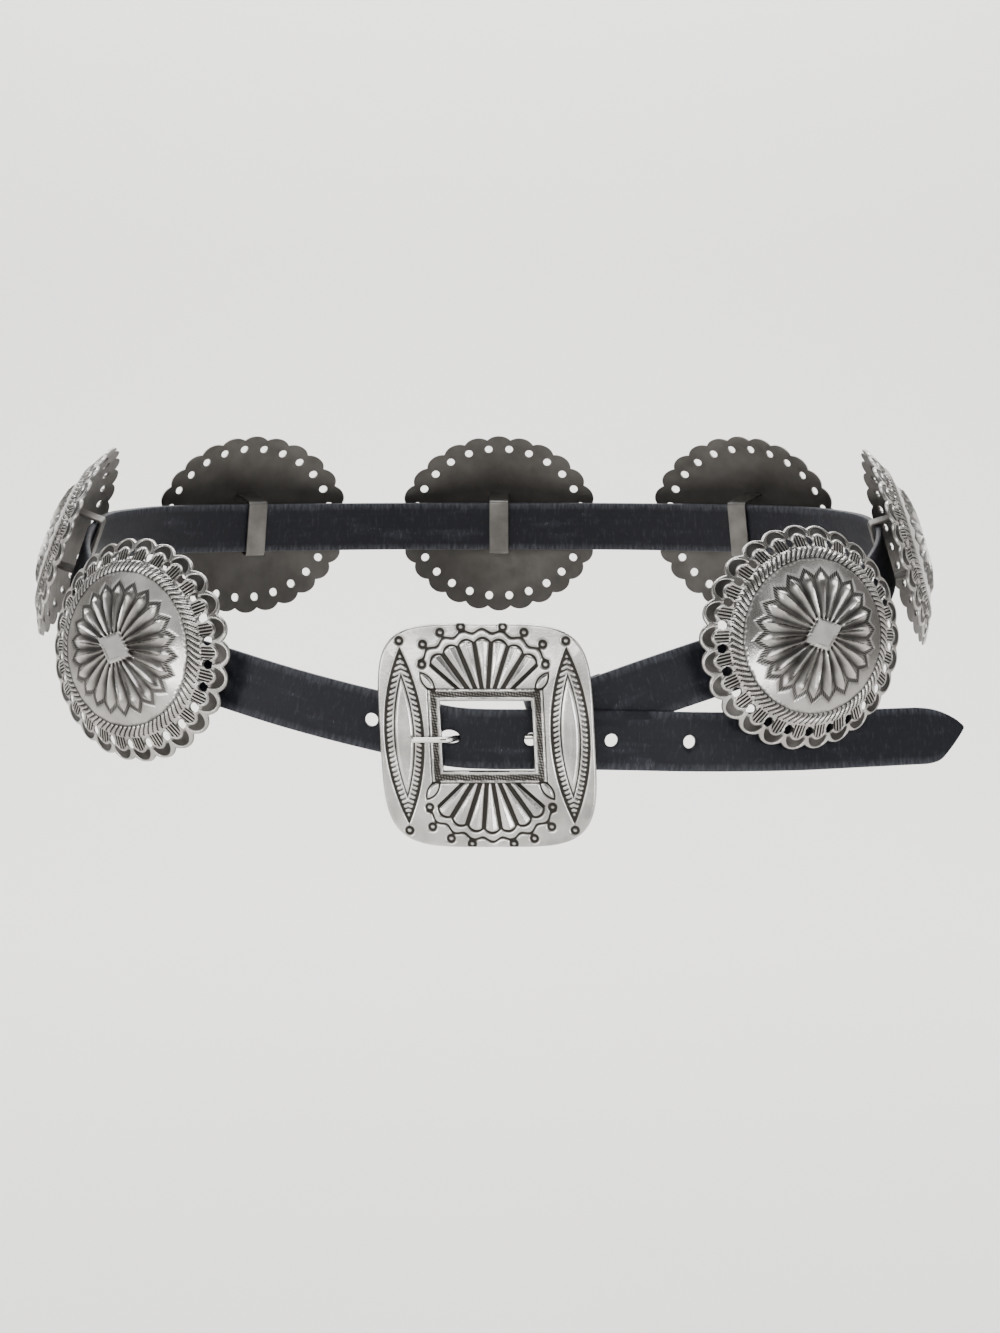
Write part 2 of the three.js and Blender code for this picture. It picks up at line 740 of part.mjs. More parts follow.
// One raised flute of a fan: a ridge that widens from the window's band to a rounded end.
function flute(index, side) {
  const angle = THREE.MathUtils.degToRad(index * flutePitch);
  const half = THREE.MathUtils.degToRad(flutePitch * 0.46);
  const base = windowHeight / 2 + bandWidth + fluteGap;
  const sunk = plateFront + reliefSink;
  const at = (radius, swing, depth) => new THREE.Vector3(
    radius * Math.sin(angle + swing),
    depth,
    side * (fanCentre + radius * Math.cos(angle + swing)),
  );
  const near = (swing) => (base - fanCentre) / Math.cos(angle + swing);
  const points = [
    at(near(-half), -half, sunk),
    at(near(half), half, sunk),
    at(fanRadius - 2, -half, sunk),
    at(fanRadius - 2, half, sunk),
    at(fanRadius, 0, sunk),
    at(near(0) + 0.5, 0, plateFront - fluteHeight / 2),
    at(fanRadius - 2.6, 0, plateFront - fluteHeight),
  ];
  return solidOf(new ConvexGeometry(points));
}

// Round bar behind the plate that carries the strap and the tongue, on two posts.
function barAndPosts() {
  const { at, across } = barLine();
  const ends = [at(barMiddle - postSpread / 2), at(barMiddle + postSpread / 2)];
  const upright = new THREE.Vector3(0, 1, 0);
  const length = ends[0].distanceTo(ends[1]) + barDiameter;
  const middle = at(barMiddle);
  const bar = new THREE.CylinderGeometry(barDiameter / 2, barDiameter / 2, length, 10);
  bar.applyQuaternion(new THREE.Quaternion().setFromUnitVectors(upright, across));
  let solid = solidOf(bar.translate(middle.x, middle.y, middle.z));
  ends.forEach((end) => {
    const front = plateBack - postSolder;
    const back = end.y + barDiameter / 2;
    const post = new THREE.BoxGeometry(barDiameter, back - front, barDiameter);
    solid = solid.add(solidOf(post.translate(end.x, (front + back) / 2, end.z)));
  });
  return solid;
}

function makePlate() {
  const opening = rectangle(windowWidth, windowHeight);
  let plate = plateSolid(plateOutline(), plateFront + plateEdge, plateBack - plateEdge, {
    bevelEnabled: true,
    bevelThickness: plateEdge,
    bevelSize: plateEdge,
    bevelSegments: 1,
  });
  const band = rectangle(windowWidth + 2 * bandWidth, windowHeight + 2 * bandWidth);
  plate = plate.add(plateSolid(band, plateFront - bandHeight, plateFront + reliefSink));
  [-1, 1].forEach((side) => {
    const middle = side * leafOffset;
    const border = plateSolid(
      leafShape(middle, borderLength, borderWidth), plateFront - 1, plateFront + borderDepth);
    const leaf = plateSolid(
      leafShape(middle, leafLength, leafWidth), plateFront - leafHeight, plateFront + 1);
    plate = plate.subtract(border).add(leaf);
    for (let i = 0; i < fluteCount; i += 1) {
      plate = plate.add(flute(i - (fluteCount - 1) / 2, side));
    }
  });
  plate = plate.subtract(plateSolid(opening, plateFront - 2, plateBack + 1));
  const lean = Math.tan(THREE.MathUtils.degToRad(plateLean));
  const sheared = geometryOf(plate).applyMatrix4(
    new THREE.Matrix4().makeShear(0, 0, 0, 0, -lean, 0));
  return namedMesh('buckle_plate', geometryOf(solidOf(sheared).add(barAndPosts())), polished);
}

const buckle = new THREE.Group();
buckle.position.set(buckleX, -loopHalfDepth, 0);
buckle.add(makePlate(), makeTongue());

const billetZero = alongAtTurn(360 + turnAt(buckleX));
const holePlaces = Array.from({ length: 5 }, (_, i) => (
  { along: billetZero + tongueHole + (i - 1) * holePitch, worn: i === 1 }));

function makeStrap() {
  let solid = ribbonSolid(strapStations());
  holePlaces.forEach(({ along, worn }) => {
    const length = worn ? wornHoleLength : holeDiameter;
    solid = solid.subtract(holeCutter(along, length, holeDiameter, strapThickness + 1));
  });
  // The slot at the fold lets the ring of the tongue turn on the bar.
  const slotDepth = 2 * foldRadius + strapThickness + 2 * layerGap;
  const slot = new THREE.BoxGeometry(
    2 * foldRadius + strapThickness + slotRoom,
    slotDepth,
    tongueDiameter + 4 * tongueClearance,
  );
  const eye = barLine().at(tongueRise).add(buckle.position);
  slot.translate(eye.x, eye.y + layerGap / 2, eye.z);
  solid = solid.subtract(solidOf(slot));
  const room = tongueWire(tongueDiameter + 2 * tongueClearance);
  room.translate(buckleX, -loopHalfDepth, 0);
  solid = solid.subtract(solidOf(room));
  return namedMesh('strap', geometryOf(solid.subtract(rivetSolid(layerGap))), leather);
}

// A flush rivet through both layers of the fold, or the room cut for it in the leather.
function rivetSolid(room = 0) {
  const { point, tangent, across, face } = frameAlong(rivetPlace);
  const front = strapThickness / 2 + room;
  const back = -layerPitch - strapThickness / 2 - layerGap;
  const frontSink = strapThickness / 2 - rivetHeadHeight - room;
  const stations = [
    { radius: 0, height: back - rivetHeadHeight - room },
    { radius: rivetHead / 2, height: back - rivetHeadHeight - room },
    { radius: rivetHead / 2, height: back },
    { radius: rivetShank / 2 + room, height: back },
    { radius: rivetShank / 2 + room, height: frontSink },
    { radius: rivetHead / 2 + room, height: frontSink },
    { radius: rivetHead / 2 + room, height: front },
    { radius: 0, height: front },
  ];
  const profile = stations.map(({ radius, height }) => new THREE.Vector2(radius, height));
  const rivet = new THREE.LatheGeometry(profile, 10).rotateX(Math.PI / 2);
  rivet.applyMatrix4(new THREE.Matrix4().makeBasis(tangent, across, face));
  return solidOf(rivet.translate(point.x, point.y, point.z));
}

const belt = new THREE.Group();
belt.add(makeStrap(), buckle, namedMesh('fold_rivet', geometryOf(rivetSolid()), brass));
belt.add(...conchoPlaces().map(makeConcho));

export default belt;
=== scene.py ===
# %% [markdown]
# # A concho belt, buckled round hips that aren't there
#
# The belt is one black leather strap that carries seven domed silver plaques, called
# conchos, and closes with a square silver buckle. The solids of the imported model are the
# frame: they say where every piece sits. Each cell below dresses one of them with the
# shape and the finish that a silversmith and a leather worker gave the real one.
#
# The frame comes first, because every later measure hangs on it.

import json
import math

import bmesh
import bpy
import numpy as np
from mathutils import Matrix, Vector
from mathutils.geometry import delaunay_2d_cdt
from mathutils.kdtree import KDTree

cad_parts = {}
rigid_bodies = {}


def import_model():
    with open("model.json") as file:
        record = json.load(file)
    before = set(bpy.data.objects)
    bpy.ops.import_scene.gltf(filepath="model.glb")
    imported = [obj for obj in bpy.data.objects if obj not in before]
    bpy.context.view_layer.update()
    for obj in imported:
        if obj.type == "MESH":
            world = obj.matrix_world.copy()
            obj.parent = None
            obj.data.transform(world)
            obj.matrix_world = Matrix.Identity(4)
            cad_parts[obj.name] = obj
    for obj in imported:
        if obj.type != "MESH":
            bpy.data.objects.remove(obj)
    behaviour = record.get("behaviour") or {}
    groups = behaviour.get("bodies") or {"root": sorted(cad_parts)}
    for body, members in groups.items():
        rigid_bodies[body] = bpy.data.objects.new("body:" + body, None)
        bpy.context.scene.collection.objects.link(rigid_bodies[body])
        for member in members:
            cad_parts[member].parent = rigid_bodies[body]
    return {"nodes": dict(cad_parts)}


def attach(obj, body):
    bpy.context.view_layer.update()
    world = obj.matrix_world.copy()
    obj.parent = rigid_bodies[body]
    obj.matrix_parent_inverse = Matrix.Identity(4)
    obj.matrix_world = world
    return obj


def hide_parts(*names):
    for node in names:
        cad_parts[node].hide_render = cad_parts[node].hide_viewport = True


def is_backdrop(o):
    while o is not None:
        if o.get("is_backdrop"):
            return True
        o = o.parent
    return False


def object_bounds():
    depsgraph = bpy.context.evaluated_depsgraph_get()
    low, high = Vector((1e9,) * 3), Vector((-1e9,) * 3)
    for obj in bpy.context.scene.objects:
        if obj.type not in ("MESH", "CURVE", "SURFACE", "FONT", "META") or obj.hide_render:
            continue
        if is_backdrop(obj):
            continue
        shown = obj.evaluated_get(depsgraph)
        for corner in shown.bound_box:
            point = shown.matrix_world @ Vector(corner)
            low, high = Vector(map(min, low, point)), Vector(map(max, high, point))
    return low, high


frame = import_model()
cad_box = [list(corner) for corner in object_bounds()]
MM = 0.001
print("solids:", sorted(frame["nodes"]))

# %% [markdown]
# ## The camera
#
# The photograph looks a little down on the belt from about a metre in front of it. A
# camera at the same place, with the same angle of view, lets every later render be set
# against the photograph region by region.

# %% Put the camera where the photographer stood
def put_in_scene(name, data):
    """A new object with this mesh, camera or lamp, linked to the scene."""
    piece = bpy.data.objects.new(name, data)
    bpy.context.collection.objects.link(piece)
    return piece


camera = put_in_scene("camera", bpy.data.cameras.new("camera"))
camera.location = (0.0070, -0.916, 0.1094)
camera.rotation_euler = (math.radians(84), 0, 0)
camera.data.lens = 59.2
camera.data.sensor_width = 36
bpy.context.scene.camera = camera
print("camera", tuple(round(x, 3) for x in camera.location))

# %% [markdown]
# ## The route of the leather
#
# A worn belt isn't a ring. It sits low at the buckle, climbs over the hips, leans outwards
# where the body widens, and its free end runs on over the layer below. The route is a
# rounded oval seen from above, and a short table says how high, how tilted and how far out
# the leather is at each turn. A smooth curve through the table's rows gives everything
# between. Lengths are in millimetres here and become metres when a mesh is finished.

# %% The oval seen from above
HALF_WIDTH, HALF_DEPTH, SQUARENESS = 166.0, 116.0, 2.3
SIDE_RISE, TAIL_STRAIGHT, TAIL_STAND_OFF = 66.0, 73.0, 7.0
STRAP_WIDTH, STRAP_THICK, GAP = 22.2, 2.5, 0.35
LAYER = STRAP_THICK + GAP
BUCKLE_X, BAR_OFFSET, WINDOW_WIDTH = 2.4, 21.0, 33.4


def turn_at(x):
    """Turn of the oval, in degrees, at a sideways distance from its middle."""
    return math.degrees(math.asin((abs(x) / HALF_WIDTH) ** (SQUARENESS / 2))) * math.copysign(1, x)


def oval_at(turn):
    """A point of the level oval and the direction that looks away from the wearer."""
    angle = math.radians(turn)
    wide = math.copysign(abs(math.sin(angle)) ** (2 / SQUARENESS), math.sin(angle))
    deep = -math.copysign(abs(math.cos(angle)) ** (2 / SQUARENESS), math.cos(angle))
    steep = SQUARENESS - 1
    outward = np.array([
        math.copysign(abs(wide) ** steep, wide) / HALF_WIDTH,
        math.copysign(abs(deep) ** steep, deep) / HALF_DEPTH, 0.0])
    return np.array([wide * HALF_WIDTH, deep * HALF_DEPTH, 0.0]), outward / np.linalg.norm(outward)


# %% How the leather hangs: turn, rise, lean, layers under, stand off
def beside(share):
    return 360 + turn_at(BUCKLE_X + WINDOW_WIDTH * share)


hang = np.array([
    (turn_at(BUCKLE_X + BAR_OFFSET), 0.048, 0, 1, 0), (turn_at(BUCKLE_X + 34), 0.112, 0, 1, 0),
    (18.1, 0.232, 2, 1, 0), (28.0, 0.356, 6, 0.5, 0), (43.3, 0.506, 10.4, 0, 0),
    (65, 0.74, 14, 0, 0), (87.2, 0.948, 17.8, 0, 0), (112, 1.01, 16, 0, 0),
    (145, 1.02, 12, 0, 0), (180, 1.02, 10, 0, 0), (215, 1.02, 12, 0, 0),
    (246, 1.02, 17, 0, 0), (268.6, 0.968, 22.1, 0, 0), (291, 0.70, 14, 0, 0),
    (311.8, 0.426, 8.1, 0, 0), (327.4, 0.300, 5, 0, 0), (338.3, 0.190, 3, 0, 0),
    (347.5, 0.095, 1, 0, 0), (beside(-0.68), 0.018, 0, 0, 0), (beside(-0.46), -0.005, 0, 0, 0),
    (beside(-0.26), -0.016, 0, 0, 0.11), (beside(0), -0.021, 0, 0, 0.16),
    (beside(0.26), -0.023, 0, 0, 0.11), (beside(0.46), -0.025, 0, 0, 0),
    (beside(0.68), -0.028, 0, 0, 0), (372.0, -0.033, 0, 0, 0), (386.0, -0.058, 4, 0, 0.2),
    (396.0, -0.070, 8, 0, 0.7), (403.3, -0.080, 11, 0, 1),
])
TAIL_RISE, TAIL_LEAN = -0.106, 14.0


def through_rows(turn, column):
    """A smooth cubic through one column of the table, with straight ends."""
    turns, values = hang[:, 0], hang[:, column]
    i = int(np.clip(np.searchsorted(turns, turn, side="right"), 1, len(turns) - 1))
    t0, t1, v0, v1 = turns[i - 1], turns[i], values[i - 1], values[i]
    before, t_before = (values[i - 2], turns[i - 2]) if i > 1 else (v1, t1)
    after, t_after = (values[i + 1], turns[i + 1]) if i + 1 < len(turns) else (v0, t0)
    half, p = (t1 - t0) / 2, (turn - t0) / (t1 - t0)
    w0, w1 = half / (t0 - t_before), half / (t_after - t1)
    return ((-w0 * p**3 + 2 * w0 * p**2 - w0 * p) * before
            + ((1 + w0) * p**3 + (-1.5 - 2 * w0) * p**2 + (-0.5 + w0) * p + 1) * v0
            + ((-1 - w1) * p**3 + (1.5 + w1) * p**2 + 0.5 * p) * v1
            + (w1 * p**3 - w1 * p**2) * after)


# %% Walk the route and measure it
ROUTE_STEPS, TAIL_STEPS = 1600, 40


def walk_route():
    """Turns, points, outward directions, leans and lengths, from the bar to the free end."""
    turns, points, outwards, leans = [], [], [], []
    for turn in np.linspace(hang[0, 0], hang[-1, 0], ROUTE_STEPS + 1):
        point, outward = oval_at(turn)
        rise, lean, under, out = (through_rows(turn, column) for column in (1, 2, 3, 4))
        point = point + outward * (out * TAIL_STAND_OFF - under * LAYER)
        point[2] = rise * SIDE_RISE
        turns.append(turn)
        points.append(point)
        outwards.append(outward)
        leans.append(lean)
    way = (points[-1] - points[-5]) * (1, 1, 0)
    way /= np.linalg.norm(way)
    start, rise = points[-1], hang[-1, 1]
    for share in np.arange(1, TAIL_STEPS + 1) / TAIL_STEPS:
        point = start + way * TAIL_STRAIGHT * share
        point[2] = SIDE_RISE * (rise + (TAIL_RISE - rise) * share)
        turns.append(hang[-1, 0] + share)
        points.append(point)
        outwards.append(outward)
        leans.append(lean + (TAIL_LEAN - lean) * share)
    points = np.array(points)
    steps = np.linalg.norm(np.diff(points, axis=0), axis=1)
    return np.array(turns), points, np.array(outwards), np.array(leans), np.append(0, np.cumsum(steps))


turns, points, outwards, leans, lengths = walk_route()
leather_length = lengths[-1]


def point_along(along):
    return np.array([np.interp(along, lengths, points[:, k]) for k in range(3)])


def unit(vector):
    return vector / np.linalg.norm(vector)


def frame_along(along):
    """Point, tangent, across and face of the leather at a distance along it."""
    outward = unit(np.array([np.interp(along, lengths, outwards[:, k]) for k in range(3)]))
    lean = math.radians(np.interp(along, lengths, leans))
    tangent = unit(point_along(along + 0.8) - point_along(along - 0.8))
    looks = outward * math.cos(lean) + np.array([0, 0, math.sin(lean)])
    across = unit(np.cross(looks, tangent))
    return point_along(along), tangent, across, np.cross(tangent, across)


def along_at(turn):
    return float(np.interp(turn, turns, lengths))


print("leather: %.0f mm" % leather_length)

# %% [markdown]
# ## A way to draw formulas as nodes
#
# A stamped plaque follows rules: so many scallops, so many petals, each the same. Geometry
# Nodes can work such rules out at every point of a mesh, but a long sum drawn node by node
# is hard to read. The small class below stands for one number per point. Adding or
# multiplying two of them draws the Math node for it, so a relief reads like a formula here
# and is still an ordinary node tree in Blender. The shaders further on use it as well.

# %% One number per point, and the sums on it
class Amount:
    tree = None

    def __init__(self, socket):
        self.socket = socket

    def __add__(self, other):
        return worked("ADD", self, other)

    def __sub__(self, other):
        return worked("SUBTRACT", self, other)

    def __rsub__(self, other):
        return worked("SUBTRACT", other, self)

    def __mul__(self, other):
        return worked("MULTIPLY", self, other)

    def __truediv__(self, other):
        return worked("DIVIDE", self, other)

    def __rtruediv__(self, other):
        return worked("DIVIDE", other, self)

    def __pow__(self, power):
        return worked("POWER", self, power)

    def __abs__(self):
        return worked("ABSOLUTE", self)

    def __neg__(self):
        return worked("MULTIPLY", self, -1.0)

    __radd__, __rmul__ = __add__, __mul__


def plug(value, socket):
    """Links a number to a socket, or sets the socket to a plain value."""
    if isinstance(value, Amount):
        Amount.tree.links.new(value.socket, socket)
    else:
        socket.default_value = value


def worked(operation, *values):
    node = Amount.tree.nodes.new("ShaderNodeMath")
    node.operation = operation
    for socket, value in zip(node.inputs, values):
        plug(value, socket)
    return Amount(node.outputs[0])


# %% The few shapes of sum that a relief needs
def least(a, b):
    return worked("MINIMUM", a, b)


def most(a, b):
    return worked("MAXIMUM", a, b)


def hypot(a, b):
    return worked("SQRT", a * a + b * b)


def from_to(low, high, value, easing="SMOOTHSTEP"):
    """0 at low and 1 at high, eased between them and held outside. High may be the lower one."""
    node = Amount.tree.nodes.new("ShaderNodeMapRange")
    node.interpolation_type = easing
    node.clamp = True
    for socket, part in zip(node.inputs[:3], (value, low, high)):
        plug(part, socket)
    return Amount(node.outputs[0])


def mixed(a, b, share):
    return a + (b - a) * share


def ridge(distance, half_width):
    """1 on a line and 0 at half_width from it, rounded like a stamped line."""
    return from_to(half_width, 0.0, abs(distance))


def leaf_distance(u, v, half_length, half_width):
    """Distance from a pointed leaf along v, less than 0 inside it."""
    radius = (half_length**2 + half_width**2) / (2 * half_width)
    return hypot(abs(u) + (radius - half_width), v) - radius


# %% Start a tree, and turn a finished tree into a mesh
def start_tree(name, sizes):
    """A new tree with one named input for each size, and the inputs as numbers."""
    tree = bpy.data.node_groups.new(name, "GeometryNodeTree")
    kinds = {int: "NodeSocketInt", float: "NodeSocketFloat"}
    tree.interface.new_socket("Mesh", in_out="INPUT", socket_type="NodeSocketGeometry")
    for label, size in sizes.items():
        socket = tree.interface.new_socket(label, in_out="INPUT", socket_type=kinds[type(size)])
        socket.default_value = size
    tree.interface.new_socket("Mesh", in_out="OUTPUT", socket_type="NodeSocketGeometry")
    entry = tree.nodes.new("NodeGroupInput")
    Amount.tree = tree
    return tree, {label: Amount(entry.outputs[label]) for label in sizes}


def step(kind, geometry=None, settings=None, **inputs):
    """One geometry node with its settings and its named inputs; returns the node."""
    node = Amount.tree.nodes.new(kind)
    for name, value in (settings or {}).items():
        setattr(node, name, value)
    if geometry is not None:
        slot = next(s for s in node.inputs if s.type == "GEOMETRY")
        Amount.tree.links.new(geometry, slot)
    for name, value in inputs.items():
        plug(value, node.inputs[name.replace("_", " ")])
    return node


def finish_tree(geometry, material):
    smooth = step("GeometryNodeSetShadeSmooth", geometry)
    real = step("GeometryNodeRealizeInstances", smooth.outputs[0])
    coloured = step("GeometryNodeSetMaterial", real.outputs[0], Material=material)
    last = Amount.tree.nodes.new("NodeGroupOutput")
    Amount.tree.links.new(coloured.outputs[0], last.inputs[0])


def settle(piece):
    """Works a piece's modifiers into its mesh."""
    bpy.context.view_layer.update()
    depsgraph = bpy.context.evaluated_depsgraph_get()
    mesh = bpy.data.meshes.new_from_object(piece.evaluated_get(depsgraph))
    piece.modifiers.clear()
    piece.data = mesh
    return piece


def grown(name, tree, sizes, start=None):
    """The plain mesh that a tree makes with these sizes, as a new object."""
    piece = put_in_scene(name, start or bpy.data.meshes.new(name))
    modifier = piece.modifiers.new(name, "NODES")
    modifier.node_group = tree
    for item in tree.interface.items_tree:
        if item.in_out == "INPUT" and item.name in sizes:
            modifier[item.identifier] = sizes[item.name]
    return settle(piece)


# %% Two steps that every stamped sheet shares: its flat grid, and the move to its relief
def flat_grid(columns, rows):
    """A flat grid, and how far along its columns and its rows each point is, from 0 to 1."""
    grid = step("GeometryNodeMeshGrid", Size_X=1.0, Size_Y=1.0,
                Vertices_X=columns + 1, Vertices_Y=rows + 1)
    place = step("ShaderNodeSeparateXYZ")
    Amount.tree.links.new(step("GeometryNodeInputPosition").outputs[0], place.inputs[0])
    return grid.outputs[0], Amount(place.outputs[0]) + 0.5, Amount(place.outputs[1]) + 0.5


def stamped(grid, places, dark, material):
    """Keeps how dark each point is, moves the points to their places and closes the seam."""
    marked = step("GeometryNodeStoreNamedAttribute", grid, {"data_type": "FLOAT"},
                  Name="recess", Value=dark)
    there = step("ShaderNodeCombineXYZ")
    for amount, socket in zip(places, there.inputs):
        plug(amount, socket)
    moved = step("GeometryNodeSetPosition", marked.outputs[0])
    Amount.tree.links.new(there.outputs[0], moved.inputs["Position"])
    closed = step("GeometryNodeMergeByDistance", moved.outputs[0], Distance=0.004)
    upright = step("GeometryNodeFlipFaces", closed.outputs[0])
    finish_tree(upright.outputs[0], material)


# %% [markdown]
# ## Aged silver
#
# The silver was stamped, darkened all over and then rubbed bright again, so the black stays
# down in the stamps and the high parts shine. Each mesh carries an attribute called
# recess, worked out with its relief: 0 where the polishing cloth reached and 1 deep in a
# stamp. The shader turns it into a darker, duller metal, with a soft mottle and fine
# scratches over everything. A second attribute, behind, turns backs and parts that sit
# behind others towards near-black silver: unpolished tarnish, and painted shade where
# they hide. The conchos are given a greyer tone than the buckle, so the same recipe is
# used with two tones.

# %% Shader helpers: noise, an attribute and a mix of two colours
def shader(name):
    material = bpy.data.materials.new(name)
    material.use_nodes = True
    Amount.tree = material.node_tree
    return material, material.node_tree.nodes["Principled BSDF"]


def node_with(kind, **settings):
    node = Amount.tree.nodes.new(kind)
    for name, value in settings.items():
        setattr(node, name, value)
    return node


def speckle(scale, detail=3.0, stretch=(1, 1, 1), over=None):
    """Noise from 0 to 1 in the piece's own metres, or over a vector that it carries."""
    noise = node_with("ShaderNodeTexNoise")
    mapping = node_with("ShaderNodeMapping")
    mapping.inputs["Scale"].default_value = stretch
    source = over or node_with("ShaderNodeTexCoord").outputs["Object"]
    Amount.tree.links.new(source, mapping.inputs["Vector"])
    Amount.tree.links.new(mapping.outputs[0], noise.inputs["Vector"])
    noise.inputs["Scale"].default_value = scale
    noise.inputs["Detail"].default_value = detail
    return Amount(noise.outputs[0])


def carried(name):
    return Amount(node_with("ShaderNodeAttribute", attribute_name=name).outputs["Fac"])


def tint(share, low, high):
    """A colour between two, as a socket."""
    node = node_with("ShaderNodeMix", data_type="RGBA")
    plug(share, node.inputs[0])
    for socket, colour in zip(node.inputs[6:8], (low, high)):
        if isinstance(colour, tuple):
            socket.default_value = (*colour, 1)
        else:
            Amount.tree.links.new(colour, socket)
    return node.outputs[2]


def paint(surface, colour, roughness, metallic=0.0):
    Amount.tree.links.new(colour, surface.inputs["Base Color"])
    surface.inputs["Metallic"].default_value = metallic
    plug(roughness, surface.inputs["Roughness"])


def bumped(surface, height, distance, strength=0.5):
    bump = node_with("ShaderNodeBump")
    plug(height, bump.inputs["Height"])
    bump.inputs["Distance"].default_value = distance
    bump.inputs["Strength"].default_value = strength
    Amount.tree.links.new(bump.outputs[0], surface.inputs["Normal"])


# %% The two tones of silver
# Near-black silver for backs and hidden parts: unpolished tarnish, and painted shade.
UNPOLISHED_AND_SHADED = (0.062, 0.058, 0.054)


def aged_silver(name, bright, dull, oxide):
    material, surface = shader(name)
    mottle, patches, grain = speckle(90, 4), speckle(28, 2), speckle(1400, 2)
    scratches = speckle(500, 2, (1, 1, 0.08))
    worn = tint(from_to(0.35, 0.7, mottle * 0.6 + patches * 0.4), bright, dull)
    dark = from_to(0.10, 0.74, carried("recess") + (mottle - 0.5) * 0.3)
    # Points marked behind are pulled towards near-black: unpolished tarnish on backs, and painted shade
    # on parts that sit behind others.
    behind = carried("behind")
    shown = tint(behind * 0.9, tint(dark, worn, oxide), UNPOLISHED_AND_SHADED)
    rough = 0.24 + dark * 0.28 + (scratches - 0.5) * 0.14 + (mottle - 0.5) * 0.12 + behind * 0.2
    paint(surface, shown, rough, 1.0)
    bumped(surface, scratches * 0.4 + grain * 0.5 + mottle * 0.6, 0.00012)
    return material


concho_silver = aged_silver(
    "aged_concho_silver", (0.44, 0.428, 0.41), (0.27, 0.262, 0.25), (0.020, 0.0185, 0.017))
buckle_silver = aged_silver(
    "rubbed_buckle_silver", (0.64, 0.63, 0.61), (0.31, 0.303, 0.293), (0.030, 0.028, 0.025))
print("materials:", concho_silver.name, buckle_silver.name)

# %% [markdown]
# ## The stamped sheet of a concho
#
# A concho starts as a flat oval of silver. The smith stamps the border, pierces it, twists
# a rope pattern round it, domes the middle in a hollow block and files the petals in. Every
# part of that is a rule in turns and radii, so the sheet is one node tree: a flat grid whose
# columns become turns and whose rows become radii, lifted by the relief of each zone.
#
# Rows follow the zones, so the edge of the diamond and the points of the star fall on a row
# and stay crisp. Round holes in a grid are the hard part. Here a square of cells is taken
# out and the rows and columns near it are pushed on to a circle.

# %% The zones of the border and the middle, as shares of the radius
CONCHO = {
    "Length": 94.0, "Height": 84.0, "Dome": 12.0, "Rim Stand Off": 5.0, "Bend": 1.5,
    "Scallops": 26, "Petals": 22, "Rope Strands": 90, "Hole Diameter": 3.6, "Notch": 0.045,
    "Columns": 858, "Pad Rows": 3, "Petal Rows": 22, "Star Rows": 3, "Band Rows": 4,
    "Rope Rows": 8, "Scallop Rows": 32,
}
ROPE_IN, ROPE_OUT, STAR_TIP, STAR_NOTCH, STAR_WIDTH = 0.69, 0.79, 0.62, 0.54, 0.054
PAD_HALF, PAD_WALL, HALF_PETAL = (9.0, 6.35), 0.012, math.pi / CONCHO["Petals"]
# The square of cells taken out for a piercing is 12 rows high and 12 columns wide.
HOLE_RING, HOLE_HALF, HOLE_COLUMNS, HOLE_CENTRE = 0.8425, 0.21 * 0.1875, 2 / 11, 0.845
DOME_POWER, MEAN_RADIUS = 1.85, 44.5
tree, size = start_tree("concho_sheet", CONCHO)

# %% From a flat grid to turns and radii
rows = sum((size[name] for name in CONCHO if name.endswith("Rows")), 1)
flat, share_round, share_out = flat_grid(size["Columns"], rows)
turn, row = share_round * math.tau, share_out * rows


def waves(turn, count):
    """-0.5 to 0.5 over each of so many equal parts of a turn, 0 in the middle of a part."""
    return worked("FRACT", turn / math.tau * count) - 0.5


def row_share(start, count):
    return from_to(start, start + count, row, "LINEAR")


def pad_radius(turn):
    wide = abs(worked("COSINE", turn)) * size["Length"] / (2 * PAD_HALF[0])
    high = abs(worked("SINE", turn)) * size["Height"] / (2 * PAD_HALF[1])
    return 1.0 / (wide + high)


def star_radius(turn):
    to_tip = 2 * abs(waves(turn + HALF_PETAL, size["Petals"]))
    return STAR_TIP - (STAR_TIP - STAR_NOTCH) * to_tip


def edge_radius(turn):
    return 1.0 - size["Notch"] * (2 * abs(waves(turn, size["Scallops"]))) ** 2.2


# %% How far out each row lies
pad_edge, star_edge = pad_radius(turn), star_radius(turn)
level_radius, start = 0.0, 0.0
for count, width in (
        (size["Pad Rows"], pad_edge), (1, PAD_WALL),
        (size["Petal Rows"], star_edge - STAR_WIDTH - PAD_WALL - pad_edge),
        (size["Star Rows"], STAR_WIDTH), (size["Band Rows"], ROPE_IN - star_edge),
        (size["Rope Rows"], ROPE_OUT - ROPE_IN)):
    level_radius = level_radius + row_share(start, count) * width
    start = start + count
border = row_share(start, size["Scallop Rows"])
level_radius = level_radius + border * (1.0 - ROPE_OUT)
radius = level_radius - (1.0 - edge_radius(turn)) * from_to(0.55, 1.0, border)

# %% Push the grid on to a circle round each piercing
cell = turn / math.tau * size["Scallops"]
nearest = worked("ROUND", cell)
sideways = abs(cell - nearest) / HOLE_COLUMNS
away = most(sideways, abs(level_radius - HOLE_RING) / HOLE_HALF)
hole_turn = nearest / size["Scallops"] * math.tau
half_long, half_high = size["Length"] / 2, size["Height"] / 2
x, y = radius * half_long * worked("COSINE", turn), radius * half_high * worked("SINE", turn)
hole_x = half_long * HOLE_CENTRE * worked("COSINE", hole_turn)
hole_y = half_high * HOLE_CENTRE * worked("SINE", hole_turn)
far = most(hypot(x - hole_x, y - hole_y), 0.001)
pull = mixed(1.0, away * size["Hole Diameter"] / 2 / far, from_to(1.7, 1.0, away))
x, y = hole_x + (x - hole_x) * pull, hole_y + (y - hole_y) * pull
r = hypot(x / half_long, y / half_high)
t = worked("ARCTAN2", y / half_high, x / half_long)

